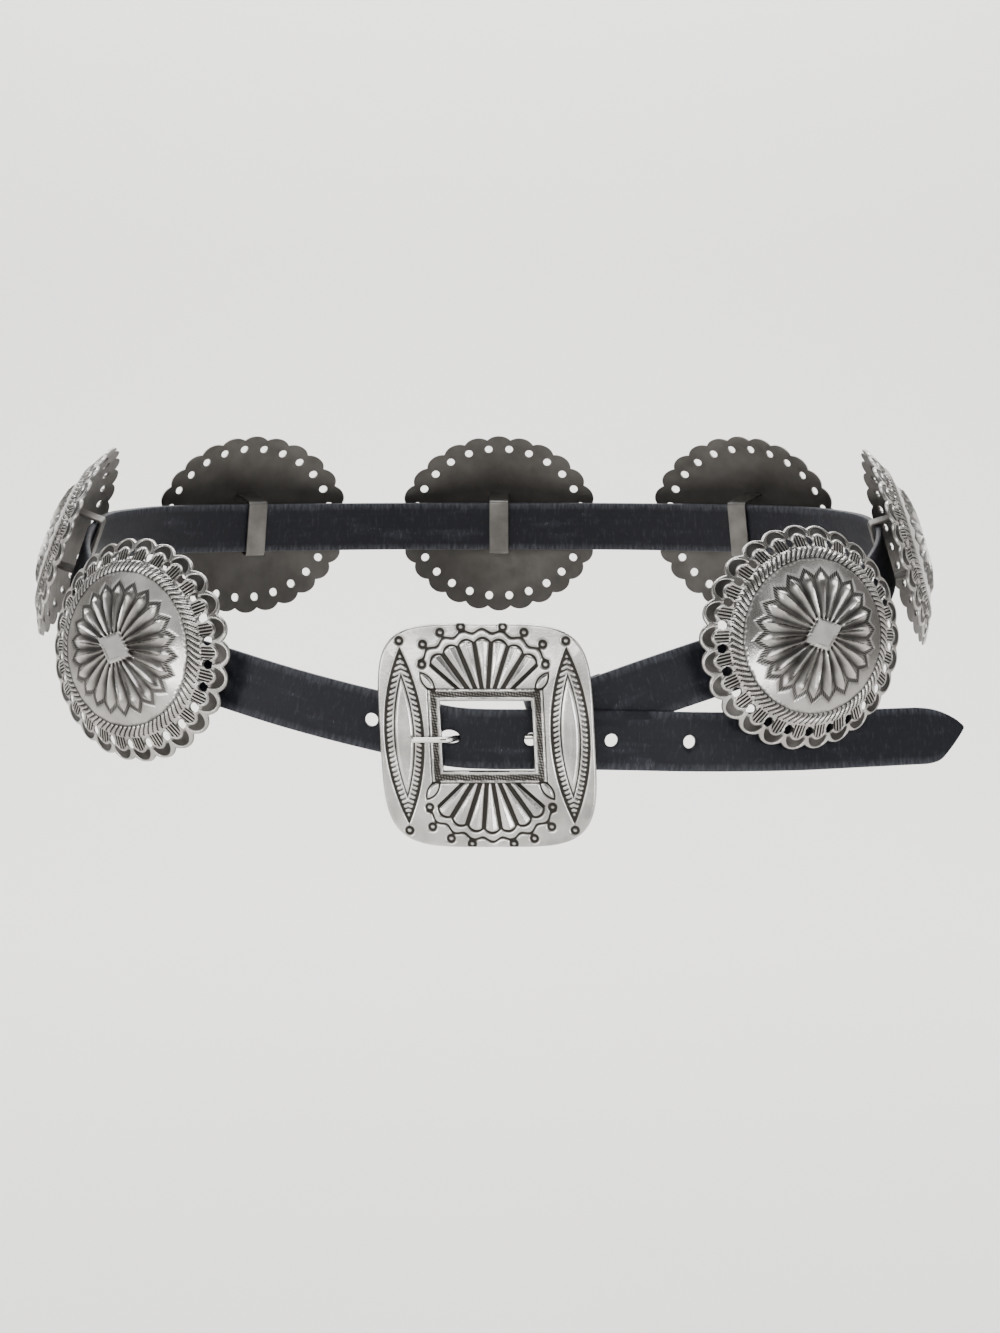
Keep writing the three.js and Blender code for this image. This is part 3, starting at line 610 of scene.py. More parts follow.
# %% The stamps of the scalloped border
a = abs(waves(t, size["Scallops"])) * math.tau / size["Scallops"] * r * MEAN_RADIUS
b = (r - ROPE_OUT) * MEAN_RADIUS
in_border = from_to(ROPE_OUT, ROPE_OUT + 0.004, r)
arch = hypot(a, most(b - 2.3, 0.0)) - 2.95
crescent = most(hypot(a, b - 4.6) - 4.28, 0.45 - arch)
pressed = from_to(0.05, -0.25, crescent)
arch_line = ridge(arch - 0.1, 0.42)
inside_arch = from_to(-0.15, -0.45, arch)
fluting = from_to(-0.6, 0.5, -worked("COSINE", a * math.tau / 1.3))
rim = (edge_radius(t) - r) * MEAN_RADIUS
border_lift = (arch_line * 0.25 - pressed * 0.36 - inside_arch * (fluting * 0.3 + 0.12)
               - from_to(0.3, 0.0, rim) * 0.2)
hole_rim = from_to(1.62, 1.2, away)
border_dark = (pressed * 0.64 + inside_arch * (0.22 + fluting * 0.72)) * (1.0 - hole_rim * 0.5)

# %% The rope and the bright band
rope = from_to(ROPE_IN, ROPE_OUT, r, "LINEAR")
rope_body = 1.0 - (rope * 2.0 - 1.0) ** 2.0
strand = worked("COSINE", (t * size["Rope Strands"] / math.tau + rope * 1.5) * math.tau)
in_rope = from_to(0.0, 0.06, rope) * from_to(1.0, 0.94, rope)
rope_lift = rope_body * 0.55 + in_rope * strand * 0.30
rope_dark = in_rope * from_to(-0.25, -0.95, strand) + ridge(r - ROPE_IN, 0.008) * 0.6

# %% The petals, their star and the diamond
part = 2 * abs(waves(t + HALF_PETAL, size["Petals"]))
star, pad = star_radius(t), pad_radius(t)
out = from_to(pad, star - STAR_WIDTH, r, "LINEAR")
crest = mixed((1.0 - part) ** 3.0, 1.0 - part ** 1.2, out ** 3.5)
swell = mixed(0.45, 1.0, from_to(0.0, 0.6, out)) * mixed(0.25, 1.0, from_to(1.0, 0.82, out))
moat = from_to(pad + PAD_WALL + 0.035, pad + PAD_WALL + 0.010, r)
hatching = worked("COSINE", t * (8.0 * CONCHO["Petals"]))
in_petals = from_to(star - STAR_WIDTH, star - STAR_WIDTH - 0.004, r)
in_star = from_to(star, star - 0.005, r) * (1.0 - in_petals)
petal_lift = (in_petals * (crest * swell * 1.75 * (1.0 - moat * 0.5) - 0.45 - moat * 0.1)
              - in_star * (0.22 + hatching * 0.06))
petal_dark = (in_petals * ((1.0 - crest) ** 1.3 * 0.64 + moat * 0.10)
              + in_star * (0.60 + hatching * 0.16))

# %% Add up the relief; the pad stays the highest and brightest part
lift = in_border * border_lift + rope_lift + petal_lift
dark = in_border * border_dark + rope_dark + petal_dark
on_pad = from_to(pad + PAD_WALL, pad, r)
bend = size["Bend"] * (x / half_long) ** 2.0
top = size["Rim Stand Off"] + size["Dome"]
z = size["Rim Stand Off"] + size["Dome"] * (1.0 - r ** DOME_POWER) + lift - bend
z = mixed(least(z, top - 0.15), top, on_pad)
dark = mixed(dark, 0.08, on_pad)

# %% Cut the holes and move the grid
pierced = step("GeometryNodeDeleteGeometry", flat, {"domain": "FACE"},
               Selection=worked("LESS_THAN", away, 1.0))
stamped(pierced.outputs[0], (x, y, z), dark, concho_silver)
concho_tree = tree
print("concho tree:", len(tree.nodes), "nodes")

# %% [markdown]
# ## Sew the back on
#
# The tree makes the front face alone. Doubling it would double the triangles for a back that
# is plain, so the open edges are pulled down by the thickness of the sheet and the back is
# filled with as few triangles as its dome needs. A constrained triangulation keeps every
# edge point of the front, and so no seam is open.

# %% Tell metal from holes in a triangulation
def metal_only(faces, rims):
    """The triangles with metal, found by stepping in from outside over the rims."""
    beside = {}
    for number, face in enumerate(faces):
        for i, corner in enumerate(face):
            beside.setdefault(frozenset((corner, face[i - 1])), []).append(number)
    metal = {}
    for edge, numbers in beside.items():
        if len(numbers) == 1:
            metal[numbers[0]] = edge in rims
    waiting = list(metal)
    while waiting:
        number = waiting.pop()
        face = faces[number]
        for i, corner in enumerate(face):
            edge = frozenset((corner, face[i - 1]))
            for other in beside[edge]:
                if other not in metal:
                    metal[other] = metal[number] != (edge in rims)
                    waiting.append(other)
    return [faces[number] for number in sorted(metal) if metal[number]]


# %% Walls and a coarse back for any stamped sheet
def sew_sheet(piece, under, grid):
    """under(x, y) is the height of the back, and grid its extra points away from the rims."""
    mesh = piece.data
    # Every point of the back is marked behind, which the silver shader paints near-black: unpolished
    # tarnish and painted shade.
    mesh.attributes.new("behind", "FLOAT", "POINT")
    bm = bmesh.new()
    bm.from_mesh(mesh)
    layer, recess = bm.verts.layers.float["behind"], bm.verts.layers.float["recess"]
    open_edges = [edge for edge in bm.edges if edge.is_boundary]
    made = bmesh.ops.extrude_edge_only(bm, edges=open_edges)["geom"]
    lower = [v for v in made if isinstance(v, bmesh.types.BMVert)]
    number = {v: i for i, v in enumerate(lower)}
    for v in lower:
        v.co.z = under(v.co.x, v.co.y)
        v[layer], v[recess] = 1.0, 0.3
    rims = [(number[e.verts[0]], number[e.verts[1]]) for e in made
            if isinstance(e, bmesh.types.BMEdge) and e.verts[0] in number and e.verts[1] in number]
    spots = [Vector((v.co.x, v.co.y)) for v in lower] + [Vector(spot) for spot in grid]
    flat_points, edges, faces, origins, edge_origins, _ = delaunay_2d_cdt(spots, rims, [], 0, 1e-6)
    corners = []
    for spot, origin in zip(flat_points, origins):
        known = next((i for i in origin if i < len(lower)), None)
        if known is None:
            new = bm.verts.new((spot.x, spot.y, under(spot.x, spot.y)))
            new[layer], new[recess] = 1.0, 0.3
            corners.append(new)
        else:
            corners.append(lower[known])
    crossings = {frozenset(edge) for edge, origin in zip(edges, edge_origins) if origin}
    for face in metal_only(faces, crossings):
        bm.faces.new([corners[i] for i in reversed(face)]).smooth = True
    bmesh.ops.recalc_face_normals(bm, faces=bm.faces)
    bm.to_mesh(mesh)
    bm.free()
    mesh.set_sharp_from_angle(angle=math.radians(62))
    return piece


def open_edges_of(mesh):
    bm = bmesh.new()
    bm.from_mesh(mesh)
    count = sum(not edge.is_manifold for edge in bm.edges)
    bm.free()
    return count


# %% Grow the fine sheet and a coarser one for the back of the belt
SHEET_THICK, HALF_LONG, HALF_HIGH = 1.2, CONCHO["Length"] / 2, CONCHO["Height"] / 2


def back_of_dome(x, y):
    share = math.hypot(x / HALF_LONG, y / HALF_HIGH)
    dome = CONCHO["Rim Stand Off"] + CONCHO["Dome"] * (1 - share ** DOME_POWER)
    return dome - CONCHO["Bend"] * (x / HALF_LONG) ** 2 - SHEET_THICK


dome_grid = [(x, y) for x in np.arange(-42.0, 43.0, 4.2) for y in np.arange(-37.8, 38.0, 4.2)
             if math.hypot(x / HALF_LONG, y / HALF_HIGH) < 0.76]
coarse = {"Columns": 572, "Pad Rows": 2, "Petal Rows": 14, "Star Rows": 2, "Band Rows": 2,
          "Rope Rows": 6, "Scallop Rows": 16}
sheets = {}
for finish, changes in (("fine", {}), ("plain", coarse)):
    sheet = grown("concho_" + finish, concho_tree, {**CONCHO, **changes})
    sheets[finish] = sew_sheet(sheet, back_of_dome, dome_grid)
    print(finish, "sheet:", len(sheet.data.polygons), "faces, open edges:", open_edges_of(sheet.data))

# %% [markdown]
# ## The strip behind each concho
#
# Behind every plaque a strip of sheet, bent like a staple, is soldered on, and the leather
# runs through it. It is made by carrying a section with rounded edges along the bent path.
# The same helper later makes the strap, the tongue and the buckle's bar.

# %% Skin over rings of points, or over one section carried along a path
def skinned(name, rings, material):
    """A capped mesh over rings that all have the same number of points."""
    count = len(rings[0])
    faces = [(here + i, here + count + i, here + count + (i + 1) % count, here + (i + 1) % count)
             for here in range(0, count * (len(rings) - 1), count) for i in range(count)]
    end = count * len(rings)
    faces += [tuple(range(count)), tuple(range(end - 1, end - count - 1, -1))]
    mesh = bpy.data.meshes.new(name)
    mesh.from_pydata(np.concatenate(rings).tolist(), [], faces)
    mesh.materials.append(material)
    bm = bmesh.new()
    bm.from_mesh(mesh)
    bmesh.ops.recalc_face_normals(bm, faces=bm.faces)
    bm.to_mesh(mesh)
    bm.free()
    mesh.shade_smooth()
    mesh.set_sharp_from_angle(angle=math.radians(50))
    return put_in_scene(name, mesh)


def swept(name, stations, section, material):
    """A station is a point and the two directions that the section's numbers follow."""
    rings = [point + section[:, :1] * side + section[:, 1:] * face for point, side, face in stations]
    return skinned(name, rings, material)


# %% The two sections that are used, and one even tone of oxide and painted shade for a plain part
def rounded_section(width, thickness, radius, crown=0.0, corner_steps=4, flat_steps=2):
    """A flat bar's section with rounded corners and, if wanted, slightly crowned faces."""
    spots, reach = [], width / 2 - radius
    for right, up, first in ((1, 1, 0), (-1, 1, 90), (-1, -1, 180), (1, -1, 270)):
        middle = np.array([right * reach, up * (thickness / 2 - radius)])
        for i in range(corner_steps + 1):
            angle = math.radians(first + 90 * i / corner_steps)
            spots.append(middle + radius * np.array([math.cos(angle), math.sin(angle)]))
        if right == up:
            for i in range(1, flat_steps):
                spots.append([right * reach * (1 - 2 * i / flat_steps), middle[1] + up * radius])
    spots = np.array(spots)
    spots[:, 1] -= np.sign(spots[:, 1]) * crown * (spots[:, 0] / (width / 2)) ** 2
    return spots


def circle_section(diameter, sides):
    angles = np.arange(sides) * math.tau / sides
    return np.stack([np.cos(angles), np.sin(angles)], axis=1) * diameter / 2


def store(mesh, name, values):
    """Keeps one number, or one vector, for each point of a mesh."""
    kind, field = ("FLOAT", "value") if np.ndim(values) == 1 else ("FLOAT_VECTOR", "vector")
    mesh.attributes.new(name, kind, "POINT").data.foreach_set(field, np.ravel(values))


def oxide_and_shade_evenly(piece, recess, behind):
    for name, value in (("recess", recess), ("behind", behind)):
        store(piece.data, name, np.full(len(piece.data.vertices), value))


# %% Bend the strip
STRIP_WIDE, STRIP_THICK, STRIP_BEND, CLEAR = 9.0, 1.2, 1.2, 0.65


def strip_stations():
    """From the dome down one side of the leather, along its back and up the other side."""
    side = STRAP_WIDTH / 2 + CLEAR + STRIP_THICK / 2
    solder = back_of_dome(0, side + STRIP_THICK / 2) + STRIP_THICK / 2
    behind = -(STRAP_THICK / 2 + CLEAR + STRIP_THICK / 2)
    path = [(-side, solder), (-side, 6.0), (-side, behind + STRIP_BEND)]
    for i in range(1, 6):
        angle = math.radians(180 + 90 * i / 5)
        path.append((-side + STRIP_BEND * (1 + math.cos(angle)),
                     behind + STRIP_BEND * (1 + math.sin(angle))))
    path.append((0.0, behind))
    path = np.array(path + [(-u, v) for u, v in reversed(path[:-1])])
    return [(np.array([0.0, u, v]), np.array([1.0, 0, 0]), unit(np.array([0.0, -way[1], way[0]])))
            for (u, v), way in zip(path, np.gradient(path, axis=0))]


strip = swept("strip", strip_stations(), rounded_section(STRIP_WIDE, STRIP_THICK, 0.35), concho_silver)
# The strip behind the leather is pulled well towards near-black: tarnish, and painted shade.
oxide_and_shade_evenly(strip, 0.3, 0.8)
print("strip:", len(strip.data.polygons), "faces")

# %% [markdown]
# ## Seven conchos on the strap
#
# Two sit over each hip, where the table of the route puts them, and three share the way
# round the back evenly. Each is the same stamped sheet, so the meshes are copies, turned to
# the leather's own directions at their place. The silver's mottle is laid in the object's
# coordinates, and so no two come out alike.

# %% Join sheet and strip, and set one at each place
def placed(name, parts, matrix, material):
    """Joined copies of some meshes, with a matrix in millimetres worked into the mesh."""
    bm = bmesh.new()
    for part in parts:
        bm.from_mesh(part)
    mesh = bpy.data.meshes.new(name)
    bm.to_mesh(mesh)
    bm.free()
    mesh.materials.append(material)
    mesh.polygons.foreach_set("material_index", np.zeros(len(mesh.polygons), np.int32))
    mesh.transform(Matrix.Scale(MM, 4) @ matrix)
    return put_in_scene(name, mesh)


def matrix_of(point, right, up, outward):
    matrix = Matrix.Identity(4)
    for column, direction in enumerate((right, up, outward, point)):
        for line in range(3):
            matrix[line][column] = direction[line]
    return matrix


def clear_away(*pieces):
    for piece in pieces:
        bpy.data.objects.remove(piece)


hips = [along_at(turn) for turn in (43.3, 87.2, 268.6, 311.8)]
back = [hips[1] + (hips[2] - hips[1]) * share for share in (0.25, 0.5, 0.75)]
# Three sit this much closer to the leather, so that no petal leaves the box of the solids.
settled = {2: 0.2, 4: 0.25, 6: 0.2}
for number, along in enumerate(hips[:2] + back + hips[2:], 1):
    point, tangent, across, face = frame_along(along)
    point = point - face * settled.get(number, 0)
    sheet = sheets["plain" if along in back else "fine"]
    concho = placed("silver_concho_%d" % number, [sheet.data, strip.data],
                    matrix_of(point, tangent, across, face), concho_silver)
    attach(concho, "root")
    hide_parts("concho_%d" % number)
    print(concho.name, "at", [round(float(c)) for c in point], "mm")
clear_away(sheets["fine"], sheets["plain"], strip)

# %% [markdown]
# ## The buckle plate
#
# The plate is a heavy square of silver with soft corners and a window. Two fans of flutes
# spread above and below the window, two long leaves stand beside it, and rings fill the
# gaps. All of it is stamped from the front. It is made as the conchos are: a grid whose
# columns run round the window and whose rows run out to the edge, lifted by distances to
# the stamped lines. Folding the plate at its two middle lines means that one quarter of the
# drawing is enough, as a smith turns the plate and uses the same stamp again.

# %% The rows and columns round the window
PLATE = {
    "Width": 79.0, "Height": 83.0, "Squareness": 4.5, "Window Width": 33.4, "Window Height": 25.8,
    "Side Columns": 152, "Top Columns": 248, "Rows": 84, "Edge Rows": 5,
    "Flute Pitch": 13.4, "Fan Radius": 27.8, "Teeth Pitch": 1.9,
}
EDGE, FAN_FOOT, LEAF_MIDDLE = 0.965, 7.8, 30.5
tree, size = start_tree("buckle_plate", PLATE)
around = (size["Side Columns"] + size["Top Columns"]) * 2
rows = size["Rows"] + size["Edge Rows"]
flat, share_round, share_out = flat_grid(around, rows)
column, row = share_round * around, share_out * rows


def run(start, count):
    return from_to(start, start + count, column, "LINEAR")


side, top = size["Side Columns"], size["Top Columns"]
wide, high = size["Window Width"], size["Window Height"]
window_u = wide / 2 - wide * run(side, top) + wide * run(side * 2 + top, top)
window_v = high / -2 + high * run(0.0, side) - high * run(side + top, side)
reach_u = (abs(window_u) / (size["Width"] / 2)) ** size["Squareness"]
reach_v = (abs(window_v) / (size["Height"] / 2)) ** size["Squareness"]
scale = 1.0 / (reach_u + reach_v) ** (1.0 / size["Squareness"])
out = (from_to(0.0, size["Rows"], row, "LINEAR") * EDGE
       + from_to(size["Rows"], rows, row, "LINEAR") * (1 - EDGE))
stretch = mixed(1.0, scale, out)
u, v = window_u * stretch, window_v * stretch
from_edge = (1.0 - out) * (scale - 1.0) * hypot(window_u, window_v)

# %% The window's lip and its milled band
au, av = abs(u), abs(v)
from_window = most(au - wide / 2, av - high / 2)
lip = from_to(0.0, 0.35, from_window) * from_to(1.5, 0.9, from_window)
in_band = from_to(1.2, 1.5, from_window) * from_to(3.75, 3.5, from_window)
weave = worked("COSINE", (u + v) * math.tau / 1.7) * worked("COSINE", (u - v) * math.tau / 2.6)
band_edge, band_groove = ridge(from_window - 3.85, 0.4), ridge(from_window - 4.5, 0.5)
band_lift = lip * 0.7 + in_band * weave * 0.14 + band_edge * 0.25 - band_groove * 0.25
band_dark = in_band * (0.66 - weave * 0.22) + band_groove * 0.8

# %% The fans
fan_v = av - FAN_FOOT
fan_r = hypot(u, fan_v)
fan_turn = worked("ARCTAN2", au, fan_v)
pitch = size["Flute Pitch"] * math.pi / 180
half_fan = pitch * 3.5
lane = abs(worked("FRACT", fan_turn / pitch + 0.5) - 0.5) * 2
to_groove = (1.0 - lane) * pitch / 2 * fan_r
fan_end = size["Fan Radius"] - lane ** 2.0 * 1.7
beyond_band = from_to(4.6, 4.9, from_window)
in_fan = from_to(half_fan + 0.02, half_fan, fan_turn) * beyond_band
within = in_fan * from_to(fan_end + 0.2, fan_end - 0.3, fan_r)
body = from_to(0.6, 1.15, to_groove)
rounding = from_to(0.5, pitch / 2 * fan_r, to_groove, "LINEAR")
flute_lift = within * (body * (0.3 + 0.75 * rounding * from_to(9.0, 20.0, fan_r)) - 0.4)
flute_dark = within * (1.0 - body) * 0.85
inner_line = in_fan * ridge(fan_r - fan_end - 0.5, 1.0)
before_end = from_to(size["Fan Radius"] - 0.6, size["Fan Radius"] - 1.2, fan_r)
side_line = ridge((fan_turn - half_fan) * fan_r, 0.85) * beyond_band * before_end
wavy_r = fan_r - 30.9 - worked("COSINE", fan_turn / pitch * math.tau) * 0.7
wavy = ridge(wavy_r, 1.0) * from_to(half_fan + 0.07, half_fan + 0.05, fan_turn) * beyond_band
fan_lift = flute_lift - (inner_line + side_line) * 0.35 - wavy * 0.32
fan_dark = flute_dark + (inner_line + side_line) * 0.95 + wavy * 0.9

# %% The long leaves and their teeth
leaf_u = au - LEAF_MIDDLE
border_leaf = leaf_distance(leaf_u, v, 32.6, 7.2)
inner_leaf = leaf_distance(leaf_u, v, 21.2, 3.2)
in_strip = from_to(-0.2, -0.5, border_leaf) * from_to(0.9, 1.2, inner_leaf)
tooth = worked("FRACT", (v + abs(leaf_u) * 0.45) / size["Teeth Pitch"])
tooth_shape = from_to(0.0, 0.45, tooth) * from_to(1.0, 0.7, tooth)
inward = from_to(-0.4, -2.6, border_leaf)
teeth = in_strip * tooth_shape * from_to(0.2, 0.75, inward + tooth_shape * 0.25)
leaf_line = ridge(inner_leaf - 0.35, 0.7)
outer_line = ridge(border_leaf + 0.1, 0.65)
leaf_body = from_to(0.1, -1.2, inner_leaf)
leaf_lift = teeth * 0.35 - in_strip * 0.4 - leaf_line * 0.3 - outer_line * 0.3 + leaf_body * 0.35
leaf_dark = in_strip * (0.76 - teeth * 0.72) + leaf_line * 0.8 + outer_line * 0.8

# %% The rings and the small eyes
def ring_spot(spot_u, spot_v):
    return hypot(au - spot_u, av - spot_v)


def on_fan(radius, degrees):
    angle = math.radians(degrees)
    return radius * math.sin(angle), FAN_FOOT + radius * math.cos(angle)


ring = ring_spot(LEAF_MIDDLE, 35.1)
for radius, degrees in ((33.2, 13.4), (34.0, 26.8), (34.0, 40.2), (29.3, 50.5)):
    ring = least(ring, ring_spot(*on_fan(radius, degrees)))
ring_line = ridge(ring - 1.2, 1.2)
ring_eye = from_to(0.6, 0.1, ring)
tilt = math.radians(54)
eye_long = (au - 21.0) * math.cos(tilt) + (av - 20.0) * math.sin(tilt)
eye_wide = (au - 21.0) * math.sin(tilt) - (av - 20.0) * math.cos(tilt)
eye = leaf_distance(eye_wide, eye_long, 4.2, 1.7)
eye_line = ridge(eye, 0.72)
stamp_lift = ring_eye * 0.25 - ring_line * 0.35 - eye_line * 0.32 + from_to(-0.4, -1.4, eye) * 0.25
stamp_dark = ring_line * 0.9 + eye_line * 0.9 + ring_eye * 0.1

# %% Add up the plate, round its edge and let its corners fall back a little
fall = from_to(4.5, 26.0, from_window) * 0.55
edge_round = from_to(1.0, 0.0, from_edge, "LINEAR")
lift = band_lift + fan_lift + leaf_lift + stamp_lift - fall - edge_round ** 2.0 * 0.75
dark = least(band_dark + fan_dark + leaf_dark + stamp_dark, 1.0)
stamped(flat, (u, v, lift), dark, buckle_silver)
print("plate tree:", len(tree.nodes), "nodes")

# %% Grow the plate and close its back
PLATE_THICK, PLATE_BACK = 1.8, -(STRAP_THICK / 2 + GAP)
PLATE_FRONT = PLATE_BACK - PLATE_THICK
back_points = [(0.0, -28.0), (0.0, 28.0), (-28.0, 0.0), (28.0, 0.0)]
plate = sew_sheet(grown("plate", tree, PLATE), lambda u, v: -PLATE_THICK, back_points)
print("plate:", len(plate.data.polygons), "faces, open edges:", open_edges_of(plate.data))

# %% [markdown]
# ## The bar, the tongue and the fold
#
# A round bar stands on two posts behind the right side of the plate. The strap's fixed end
# folds round it, and the tongue is a wire whose end is bent round it as well. The tongue
# comes up through a hole in the free end and rests on the other side of the window.

# %% Where the bar runs
BAR_RADIUS, BAR_RISE, BAR_HALF, WIRE = 1.5, 0.8, 16.0, 2.4
FOLD_RADIUS = BAR_RADIUS + CLEAR + STRAP_THICK / 2
EYE_RADIUS = BAR_RADIUS + CLEAR + WIRE / 2
TONGUE_RISE, TONGUE_HOLE, TONGUE_TIP = -1.1, -13.7, -28.0
buckle_place = np.array([BUCKLE_X, -HALF_DEPTH, 0.0])
start_point, _, bar_way, start_face = frame_along(0)
bar_middle = start_point - start_face * FOLD_RADIUS - buckle_place


def bar_at(height):
    return bar_middle + bar_way * (height - bar_middle[2]) / bar_way[2]


# %% Bar and posts, with softened ends
bar_low, bar_high = bar_at(BAR_RISE - BAR_HALF), bar_at(BAR_RISE + BAR_HALF)


def bar_piece():
    way = unit(bar_high - bar_low)
    side = unit(np.cross(way, [0, 1, 0]))
    face = np.cross(side, way)
    rounding = ((0, 0.55), (0.25, 0.85), (0.6, 1.0))
    path = [(bar_low - way * (BAR_RADIUS - inset), share) for inset, share in rounding]
    path += [(bar_high + way * (BAR_RADIUS - inset), share) for inset, share in reversed(rounding)]
    return swept("bar", [(point, side * share, face * share) for point, share in path],
                 circle_section(2 * BAR_RADIUS, 24), buckle_silver)


def post_piece(end):
    front, rear = PLATE_BACK - 0.6, end[1] + BAR_RADIUS
    stations = [(np.array([end[0], y, end[2]]), np.array([1.0, 0, 0]), np.array([0, 0, 1.0]))
                for y in (front, (front + rear) / 2, rear)]
    return swept("post", stations, rounded_section(3.0, 3.0, 0.6), buckle_silver)


parts = [bar_piece(), post_piece(bar_low), post_piece(bar_high)]
# Bar and posts behind the plate are darkened a little: tarnish, and painted shade.
for part in parts:
    oxide_and_shade_evenly(part, 0.2, 0.3)

# %% Lean the plate a little to the left, as the real one is cut, and join it to its bar
lean = math.tan(math.radians(3))
plate.data.transform(matrix_of((0, PLATE_FRONT, 0), (1, 0, 0), (-lean, 0, 1), (0, -1, 0)))
buckle = placed("silver_buckle_plate", [plate.data] + [part.data for part in parts],
                Matrix.Translation(Vector(buckle_place)), buckle_silver)
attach(buckle, "root")
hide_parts("buckle_plate")
clear_away(plate, *parts)
print("buckle:", len(buckle.data.polygons), "faces")

# %% [markdown]
# ## The tongue
#
# The tongue is plain bright wire, so its finish is simpler: polished metal with fine drawn
# lines along it and a little grey where it has rubbed. Its path is one curve that starts
# as a ring round the bar and runs on into the straight.

# %% Bright wire
def bright_wire():
    material, surface = shader("bright_tongue_wire")
    rubbed, drawn = speckle(140, 3), speckle(900, 2, (0.1, 1, 1))
    colour = tint(from_to(0.4, 0.75, rubbed), (0.90, 0.88, 0.85), (0.66, 0.635, 0.60))
    paint(surface, colour, 0.16 + (drawn - 0.5) * 0.12 + (rubbed - 0.5) * 0.14, 1.0)
    bumped(surface, drawn * 0.5 + rubbed * 0.5, 0.00008)
    return material


tongue_silver = bright_wire()
# %% A rounded path through a few corners
def between(a, b, at_a, at_b, at):
    return (at_b - at) / (at_b - at_a) * a + (at - at_a) / (at_b - at_a) * b


def smooth_path(corners, steps):
    """Points on a rounded curve through the corners, evenly spaced in its own measure."""
    corners = np.array(corners, float)
    corners = np.vstack([2 * corners[0] - corners[1], corners, 2 * corners[-1] - corners[-2]])
    knots = np.append(0, np.cumsum(np.sqrt(np.linalg.norm(np.diff(corners, axis=0), axis=1))))
    path = []
    for i in range(1, len(corners) - 2):
        p, t = corners[i - 1:i + 3], knots[i - 1:i + 3]
        for s in np.linspace(t[1], t[2], steps, endpoint=False):
            a1, a2, a3 = (between(p[k], p[k + 1], t[k], t[k + 1], s) for k in range(3))
            b1, b2 = between(a1, a2, t[0], t[2], s), between(a2, a3, t[1], t[3], s)
            path.append(between(b1, b2, t[1], t[2], s))
    return np.array(path + [corners[-2]])


# %% Where the wire goes: round the bar, through the hole and on to the window's far lip
LIP = 0.6


def tongue_corners():
    eye, edge = bar_at(TONGUE_RISE), -WINDOW_WIDTH / 2
    rest = PLATE_FRONT - LIP - GAP - WIRE / 2
    behind = GAP + WIRE / 2
    return [(eye[0], eye[1] - EYE_RADIUS), (eye[0] - 2.5 * WIRE, eye[1] - EYE_RADIUS),
            (TONGUE_HOLE + 3.75 * WIRE, behind + WIRE / 3), (TONGUE_HOLE + 1.9 * WIRE, behind),
            (TONGUE_HOLE + 0.8 * WIRE, -0.4 * WIRE), (TONGUE_HOLE - 0.1 * WIRE, rest + 0.4 * WIRE),
            (edge - 0.25 * WIRE, rest), ((edge + TONGUE_TIP - WIRE) / 2, rest), (TONGUE_TIP, rest)]


def wire_stations(path, tip=0.0):
    """Stations along a level path, rounded off over its last stretch."""
    ways = np.gradient(path, axis=0)
    steps = np.linalg.norm(np.diff(path, axis=0), axis=1)
    left = np.append(np.cumsum(steps[::-1])[::-1], 0)
    stations = []
    for (x, y), way, rest in zip(path, ways, left):
        share = 1.0 if rest >= tip else math.sqrt(max(1 - (1 - rest / tip) ** 2, 0.02))
        side = np.array([-way[1], way[0], 0]) / np.linalg.norm(way)
        stations.append((np.array([x, y, TONGUE_RISE]), side * share, np.array([0, 0, 1.0]) * share))
    return stations


# %% Wind the ring and run the wire to its tip
RING_TURN, TIP_ROUNDING = 326, 1.1
shank_path = smooth_path(tongue_corners(), 9)
eye = bar_at(TONGUE_RISE)
angles = np.radians(np.linspace(-90 - RING_TURN, -90, 44, endpoint=False))
ring_path = np.stack([eye[0] + EYE_RADIUS * np.cos(-angles + math.pi),
                      eye[1] + EYE_RADIUS * np.sin(angles)], axis=1)
whole_path = np.concatenate([ring_path, shank_path])
tip_path = whole_path[-1] + (whole_path[-1] - whole_path[-2]) * np.array([[-0.08], [-0.03]])
whole_path = np.concatenate([whole_path[:-1], tip_path, whole_path[-1:]])
# A hair thinner than the solid's wire, so that its bends stay inside it.
wire = swept("wire", wire_stations(whole_path, TIP_ROUNDING),
             circle_section(WIRE - 0.08, 20), tongue_silver)
tongue = placed("silver_tongue", [wire.data], Matrix.Translation(Vector(buckle_place)), tongue_silver)
clear_away(wire)
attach(tongue, "root")
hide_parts("buckle_tongue")
print("tongue:", len(tongue.data.polygons), "faces")

# %% [markdown]
# ## Black leather
#
# The strap is vegetable-tanned leather, dyed black and worn for years: fine creases run
# across it, the finish is broken by pale specks and its edges have gone grey-blue where
# they rub. The pale creases, specks and edges also carry painted sheen and painted edge
# highlights, as the leather's own specular is kept low. The strap's mesh carries how far
# along and across the leather each point is, so the creases follow it round the body
# instead of lying in straight lines through space.

